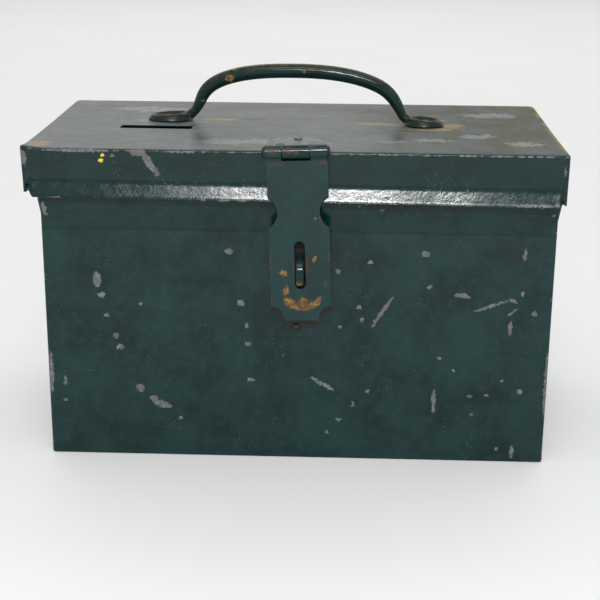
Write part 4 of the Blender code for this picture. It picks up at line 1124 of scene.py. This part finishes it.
def make_handle(paints):
    """Arched bar that runs out into two dished oval feet, as one smooth casting."""
    bm = bmesh.new()
    sweep(bm, handle_line(), arc((0, 0), (1, 1), 0, 360, 28)[:-1])
    for centre, half_length in zip(FOOT_CENTRES, FOOT_HALF_LENGTHS):
        add_foot(bm, centre, half_length)
    bm.transform(handle_frame())
    piece = new_object("handle_bail", bm)
    fuse = piece.modifiers.new("fuse", "REMESH")
    fuse.mode = "VOXEL"
    fuse.voxel_size = 0.55 * MM
    ease = piece.modifiers.new("ease", "SMOOTH")
    ease.factor = 0.5
    ease.iterations = 5
    settle(piece, [paints["handle"]], "handle", sharp=80)
    wear = piece.data.attributes.new("wear", "FLOAT", "POINT")
    values = []
    for vertex in piece.data.vertices:
        height = (vertex.co.z - HANDLE_BASE) / (HANDLE_CROWN + GRIP_RADIUS - HANDLE_BASE)
        upward = max(0, vertex.normal.z)
        rim = smooth(vertex.co.z, LID_TOP + 3 * MM, LID_TOP + 5 * MM) * (height < 0.05)
        values.append(max(0.92 * upward ** 2 * smooth(height, 0.1, 0.7), 0.7 * rim * upward))
    wear.data.foreach_set("value", values)


# --- hasp -------------------------------------------------------------------------------------
def hasp_seat():
    return Matrix.Translation(HASP_PIN) @ Matrix.Rotation(HASP_TILT, 4, "Y")


def rolled_knuckle(front, thickness, reach):
    """Side view (y, z) of a sheet that hangs down and is rolled round the pin, with its seam behind."""
    back = front + thickness
    seam = back + 0.35 * MM

    def where(radius, y):
        """Angle at which a circle round the pin crosses a plane on its lower side."""
        return degrees(atan2(-sqrt(radius ** 2 - y ** 2), y))

    start = where(KNUCKLE, front)
    shoulder = -KNUCKLE * sin(radians(-start)) - 1 * MM
    outline = [(back, -reach), (front, -reach), (front, shoulder)]
    outline += arc((0, 0), (KNUCKLE, KNUCKLE), start - 9, where(KNUCKLE, seam) - 360, 40)
    outline += arc((0, 0), (BORE, BORE), where(BORE, seam) - 360, where(BORE, back), 30)
    return outline


def strap_outline():
    w = STRAP_HALF_WIDTH
    radius = (NOTCH_HALF_HEIGHT ** 2 + NOTCH_DEPTH ** 2) / (2 * NOTCH_DEPTH)
    turn = degrees(asin(NOTCH_HALF_HEIGHT / radius))
    notch = (w - NOTCH_DEPTH + radius, NOTCH_CENTRE)
    right = [(BARREL_HALF - STRAP_OFFSET, STRAP_NECK), (w, STRAP_NECK - 3 * MM)]
    right += arc(notch, (radius, radius), 180 - turn, 180 + turn, 24)
    right += arc((w, STRAP_BOTTOM), CLIP, 90, 180, 12)
    left = [(-u, v) for u, v in reversed(right)]
    left[-1] = (-BARREL_HALF - STRAP_OFFSET, left[-1][1])
    return [(u + STRAP_OFFSET, v) for u, v in right + left]


def stadium(centre_x, centre_z, length, width, steps=14):
    r = width / 2
    reach = length / 2 - r
    points = arc((centre_x, centre_z + reach), (r, r), 0, 180, steps)
    return points + arc((centre_x, centre_z - reach), (r, r), 180, 360, steps)


def make_strap(paints):
    """Swinging strap: waisted sides, clipped corners, a slot, and its two knuckles rolled from it."""
    seat = hasp_seat()
    piece = solid("strap", prism, strap_outline(), STRAP_FRONT, STRAP_FRONT + HASP_SHEET, "Y", seat)
    profile = rolled_knuckle(STRAP_FRONT + EASE, HASP_SHEET - 2 * EASE, -STRAP_NECK + 0.5 * MM)
    window = MIDDLE_HALF + 2 * MIDDLE_GAP
    for low, high in ((-BARREL_HALF, -window), (window, BARREL_HALF)):
        boolean(piece, "UNION", prism, profile, low, high, "X", seat)
    slot = stadium(STRAP_OFFSET, SLOT_CENTRE, SLOT_LENGTH, SLOT_WIDTH)
    boolean(piece, "DIFFERENCE", prism, slot, -9 * MM, 9 * MM, "Y", seat)
    both = [paints["strap"], paints["edge"]]
    for paint in both:
        piece.data.materials.append(paint)
    bevel(piece, 0.5 * MM, 3, 40, material=1)
    settle(piece, both, "hasp_strap")


def make_leaf(paints):
    """Leaf on the lid under thick paint, with the middle knuckle rolled from it."""
    x, y = HASP_PIN.x, HASP_PIN.y
    half, inner = LEAF_HALF_WIDTH, MIDDLE_HALF
    low = LID_TOP + GAP
    tongue = LEAF_NOTCH - 2 * MM
    outline = [(-inner, tongue), (inner, tongue), (inner, LEAF_NOTCH), (half, LEAF_NOTCH)]
    outline += arc((0, LEAF_STRAIGHT), (half, LEAF_LENGTH - LEAF_STRAIGHT), 0, 180, 40)
    outline += [(-half, LEAF_NOTCH), (-inner, LEAF_NOTCH)]
    piece = solid("leaf", prism, [(x + u, y + v) for u, v in outline], low, low + HASP_SHEET, "Z")
    profile = rolled_knuckle(HASP_PIN.z - low - HASP_SHEET, HASP_SHEET - 2 * EASE, LEAF_NOTCH - 1.5 * MM)
    turned = [(-v, -u) for u, v in profile]
    boolean(piece, "UNION", prism, turned, -inner, inner, "X", hasp_seat())
    bevel(piece, 0.5 * MM, 3, 40)
    settle(piece, [paints["leaf"]], "hasp_leaf")


def make_pin(paints):
    angles = (12, 24, 36, 48, 60, 72, 84, 90)
    profile = headed_pin(KNUCKLE * 0.88, 2 * MM, 2.6 * MM, BARREL_HALF + GAP, angles)
    piece = solid("pin", lathe, profile, 40, hasp_seat() @ ALONG_X)
    settle(piece, [paints["pin"]], "hasp_pin", sharp=50)


# --- staple -----------------------------------------------------------------------------------
def staple_frame():
    return Matrix.Translation(STAPLE_SEAT) @ Matrix.Rotation(HASP_TILT, 4, "Y")


def make_staple(paints):
    """Square-bar loop, its legs running on through plate and wall."""
    mean = STAPLE_RADIUS - STAPLE_BAR / 2
    crown = -(STAPLE_REACH - STAPLE_RADIUS)
    end = 2.5 * MM
    stations = [(Vector((0, y, mean)), Z_AXIS) for y in spread(end, crown, 3 * MM)[:-1]]
    for y, z in arc((crown, 0), (mean, mean), 90, 270, 32):
        stations.append((Vector((0, y, z)), Vector((0, y - crown, z)).normalized()))
    stations += [(Vector((0, y, -mean)), -Z_AXIS) for y in spread(crown, end, 3 * MM)[1:]]
    turn = staple_frame().to_3x3()
    line = [(staple_frame() @ centre, turn @ X_AXIS, turn @ up, 1) for centre, up in stations]
    piece = solid("staple_loop", sweep, line, rounded_section(STAPLE_WIDTH, STAPLE_BAR, 1.1 * MM))
    settle(piece, [paints["staple"]], "staple", sharp=60)


def make_plate(paints):
    """Plate behind the strap, with clipped corners and an ear for its lowest rivet."""
    w = STRAP_HALF_WIDTH
    outline = arc((w, PLATE_HIGH), CLIP, 180, 270, 12)
    outline += arc((w, PLATE_LOW), CLIP, 90, 180, 12)
    outline += arc((PLATE_EAR_X, PLATE_LOW), (PLATE_EAR, PLATE_EAR), 0, -180, 16)
    outline += arc((-w, PLATE_LOW), CLIP, 0, 90, 12)
    outline += arc((-w, PLATE_HIGH), CLIP, 270, 360, 12)
    piece = solid("plate", prism, outline, -GAP - PLATE_SHEET, -GAP, "Y", staple_frame())
    bevel(piece, 0.3 * MM, 2, 35)
    settle(piece, [paints["brown"]], "staple_plate")


# --- rivets and rear hinges -------------------------------------------------------------------
def make_rivets(paints):
    """Each CAD rivet again, with a fine domed head; its place and size come from the frame."""
    for prefix, outward, paint in RIVETS:
        turn = outward.to_track_quat("Z", "Y").to_matrix().to_4x4()
        for node in sorted(n for n in frame["nodes"] if n.startswith(prefix)):
            low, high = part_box(node)
            size = high - low
            length = abs(size.dot(outward))
            head = (sum(size) - length) / 4
            top = length / 2
            rim = top - RIVET_DOME
            profile = dome(head, RIVET_DOME, rim, (15, 30, 45, 60, 75, 90))
            profile += [(1.6 * MM, rim), (1.6 * MM, -top + 1 * MM), (2.6 * MM, -top + 1 * MM)]
            profile += [(2.4 * MM, -top + 0.2 * MM), (2.1 * MM, -top), (0, -top)]
            place = Matrix.Translation((low + high) / 2) @ turn
            settle(solid(node + ".fine", lathe, profile, 28, place), [paints[paint]], node)


def barrel(bm, start, end, outer, inner, place, segments=36):
    """A plain barrel along X."""
    rings = []
    for x, radius in ((start, outer), (end, outer), (end, inner), (start, inner)):
        points = arc((0, 0), (radius, radius), 0, 360, segments)[:-1]
        rings.append([bm.verts.new(place + Vector((x, y, z))) for y, z in points])
    faces = []
    for a, b in zip(rings, rings[1:] + rings[:1]):
        for i in range(segments):
            j = (i + 1) % segments
            faces.append(bm.faces.new((a[i], a[j], b[j], b[i])))
    bmesh.ops.recalc_face_normals(bm, faces=faces)


def lid_leaf_outline(half, axis_z, top):
    """Round-cornered leaf with a tongue down to the middle knuckle, as (x, z) from its centre."""
    base, tongue = axis_z + HINGE_KNUCKLE + 0.9 * MM, axis_z + 0.8 * MM
    corner, inner = 4 * MM, HINGE_MIDDLE
    outline = [(-half, base), (-inner, base), (-inner, tongue)]
    outline += [(inner, tongue), (inner, base), (half, base)]
    outline += arc((half - corner, top - corner), (corner, corner), 0, 90, 8)
    return outline + arc((-half + corner, top - corner), (corner, corner), 90, 180, 8)


def body_leaf_outline(panel, foot, axis):
    """Side view (y, z) of the leaf on the back panel, cranked out to stand in front of the pin."""
    crank = axis.y - HINGE_KNUCKLE - panel
    line = [(panel, foot)] + [(panel + crank * share, z * MM) for share, z in HINGE_CRANK]
    line.append((panel + crank, axis.z - 0.8 * MM))
    behind = []
    for i, (y, z) in enumerate(line):
        p, q = line[max(0, i - 1)], line[min(len(line) - 1, i + 1)]
        along = Vector((q[0] - p[0], q[1] - p[1])).normalized()
        behind.append((y + along.y * HINGE_SHEET, z - along.x * HINGE_SHEET))
    return line + behind[::-1]


def make_lid_leaf(node, axis):
    low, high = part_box(node)
    outline = lid_leaf_outline((high.x - low.x) / 2, axis.z, high.z)
    outline = [(axis.x + u, v) for u, v in outline]
    piece = solid("rear_" + node, prism, outline, low.y, low.y + HINGE_SHEET, "Y")
    return piece, [(-HINGE_MIDDLE, HINGE_MIDDLE)]


def make_body_leaf(node, axis):
    low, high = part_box(node)
    half = (high.x - low.x) / 2
    outline = body_leaf_outline(low.y, low.z, axis)
    piece = solid("rear_" + node, prism, outline, axis.x - half, axis.x + half, "X")
    window = HINGE_MIDDLE + MIDDLE_GAP
    left, right = axis.x - window, axis.x + window
    base = axis.z - HINGE_KNUCKLE - 0.9 * MM
    hole = [(left, base), (right, base), (right, base + 9 * MM), (left, base + 9 * MM)]
    boolean(piece, "DIFFERENCE", prism, hole, axis.y - 9 * MM, axis.y + 9 * MM, "Y")
    return piece, [(-half, -window), (window, half)]


def make_rear_hinges(paints):
    """Two butt hinges: leaves with rolled knuckles on a headed pin."""
    for side in ("left", "right"):
        low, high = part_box("hinge_pin_" + side)
        axis = (low + high) / 2
        for leaf, make in (("hinge_lid_leaf_", make_lid_leaf), ("hinge_body_leaf_", make_body_leaf)):
            piece, spans = make(leaf + side, axis)
            for start, end in spans:
                boolean(piece, "UNION", barrel, start, end, HINGE_KNUCKLE, HINGE_BORE, axis)
            bevel(piece, 0.22 * MM, 2, 45)
            settle(piece, [paints["panel"]], leaf + side)
        rise = 1.2 * MM
        reach = (high.x - low.x) / 2 - rise
        profile = headed_pin(HINGE_KNUCKLE * 0.86, rise, 1.5 * MM, reach, (25, 50, 75, 90))
        node = "hinge_pin_" + side
        piece = solid("rear_" + node, lathe, profile, 28, Matrix.Translation(axis) @ ALONG_X)
        settle(piece, [paints["pin"]], node, sharp=50)


def dress_pan(paints):
    """The bottom pan keeps its CAD shape and takes the enamel."""
    pan = frame["nodes"]["bottom_pan"]
    pan.data.materials.clear()
    pan.data.materials.append(paints["panel"])


# --- studio -----------------------------------------------------------------------------------
CAMERA_PLACE = Vector((30 * MM, -958.3 * MM, 392.6 * MM))
CAMERA_YAW = radians(1.856)
CAMERA_PITCH = radians(17.58)
CAMERA_ROLL = radians(0.497)
CAMERA_LENS = 78.6
FLOOR_REACH = 8
# Area lights: name, place, target, width and height, power in watts.
LIGHTS = [
    ("key", (0.03, -1.90, 1.28), (0, -0.10, 0.20), (0.36, 0.19), 17),
    ("fill", (0.06, -2.00, 1.34), (0, -0.10, 0.20), (0.90, 0.25), 7.5),
    ("front", (0, -1.20, 2.20), (0, -0.40, 0), (1.2, 0.8), 8),
    ("backdrop", (0, 2.6, 2.5), (0, 2.7, 0), (4, 3), 32),
]
WORLD_RAMP = {"From Min": 0.2, "From Max": 0.9, "To Min": 0.76, "To Max": 0.58}


def make_camera():
    forward = Vector((-sin(CAMERA_YAW) * cos(CAMERA_PITCH),
                      cos(CAMERA_YAW) * cos(CAMERA_PITCH), -sin(CAMERA_PITCH)))
    level = Vector((cos(CAMERA_YAW), sin(CAMERA_YAW), 0))
    up = level.cross(forward)
    right = cos(CAMERA_ROLL) * level + sin(CAMERA_ROLL) * up
    top = -sin(CAMERA_ROLL) * level + cos(CAMERA_ROLL) * up
    camera = bpy.data.objects.new("camera", bpy.data.cameras.new("camera"))
    camera.data.lens = CAMERA_LENS
    camera.data.sensor_width = 36
    camera.data.clip_start = 0.01
    turn = Matrix((right, top, -forward)).transposed().to_4x4()
    camera.matrix_world = Matrix.Translation(CAMERA_PLACE) @ turn
    bpy.context.scene.collection.objects.link(camera)
    bpy.context.scene.camera = camera


def area_light(name, place, target, size, power):
    light = bpy.data.lights.new(name, "AREA")
    light.shape = "RECTANGLE"
    light.size, light.size_y = size
    light.energy = power
    lamp = bpy.data.objects.new(name, light)
    lamp.location = place
    lamp.rotation_euler = (Vector(target) - Vector(place)).to_track_quat("-Z", "Y").to_euler()
    bpy.context.scene.collection.objects.link(lamp)


def make_floor():
    bm = bmesh.new()
    line = spread(-FLOOR_REACH, FLOOR_REACH, 0.4)
    skin(bm, [[(Vector((x, y, 0)), 0) for x in line] for y in line], closed=False)
    face_outwards(bm, Z_AXIS)
    floor = new_object("floor", bm)
    p = Paint("pale_floor")
    tone = p.mix(p.noise(0.4, 2), (0.83, 0.83, 0.825), (0.87, 0.87, 0.865))
    floor.data.materials.append(p.finish(tone, 0.75, p.times(p.noise(0.05), 0.1), 0.3))


def make_world():
    """Even studio light, a little weaker overhead."""
    world = bpy.data.worlds.new("studio")
    world.use_nodes = True
    tree = world.node_tree
    background = tree.nodes["Background"]
    place = tree.nodes.new("ShaderNodeTexCoord")
    split = tree.nodes.new("ShaderNodeSeparateXYZ")
    ramp = tree.nodes.new("ShaderNodeMapRange")
    tree.links.new(place.outputs["Generated"], split.inputs[0])
    tree.links.new(split.outputs[2], ramp.inputs["Value"])
    tree.links.new(ramp.outputs[0], background.inputs["Strength"])
    for key, value in WORLD_RAMP.items():
        ramp.inputs[key].default_value = value
    background.inputs["Color"].default_value = (0.985, 1, 0.995, 1)
    bpy.context.scene.world = world


def make_studio():
    make_camera()
    make_floor()
    make_world()
    for light in LIGHTS:
        area_light(*light)
    bpy.context.scene.view_settings.view_transform = "Standard"


# --- the whole --------------------------------------------------------------------------------
def main():
    paints = make_materials()
    makers = (make_body, make_back, make_lid, make_handle, make_strap, make_leaf, make_pin,
              make_staple, make_plate, make_rivets, make_rear_hinges, dress_pan)
    for make in makers:
        make(paints)
    make_studio()


main()
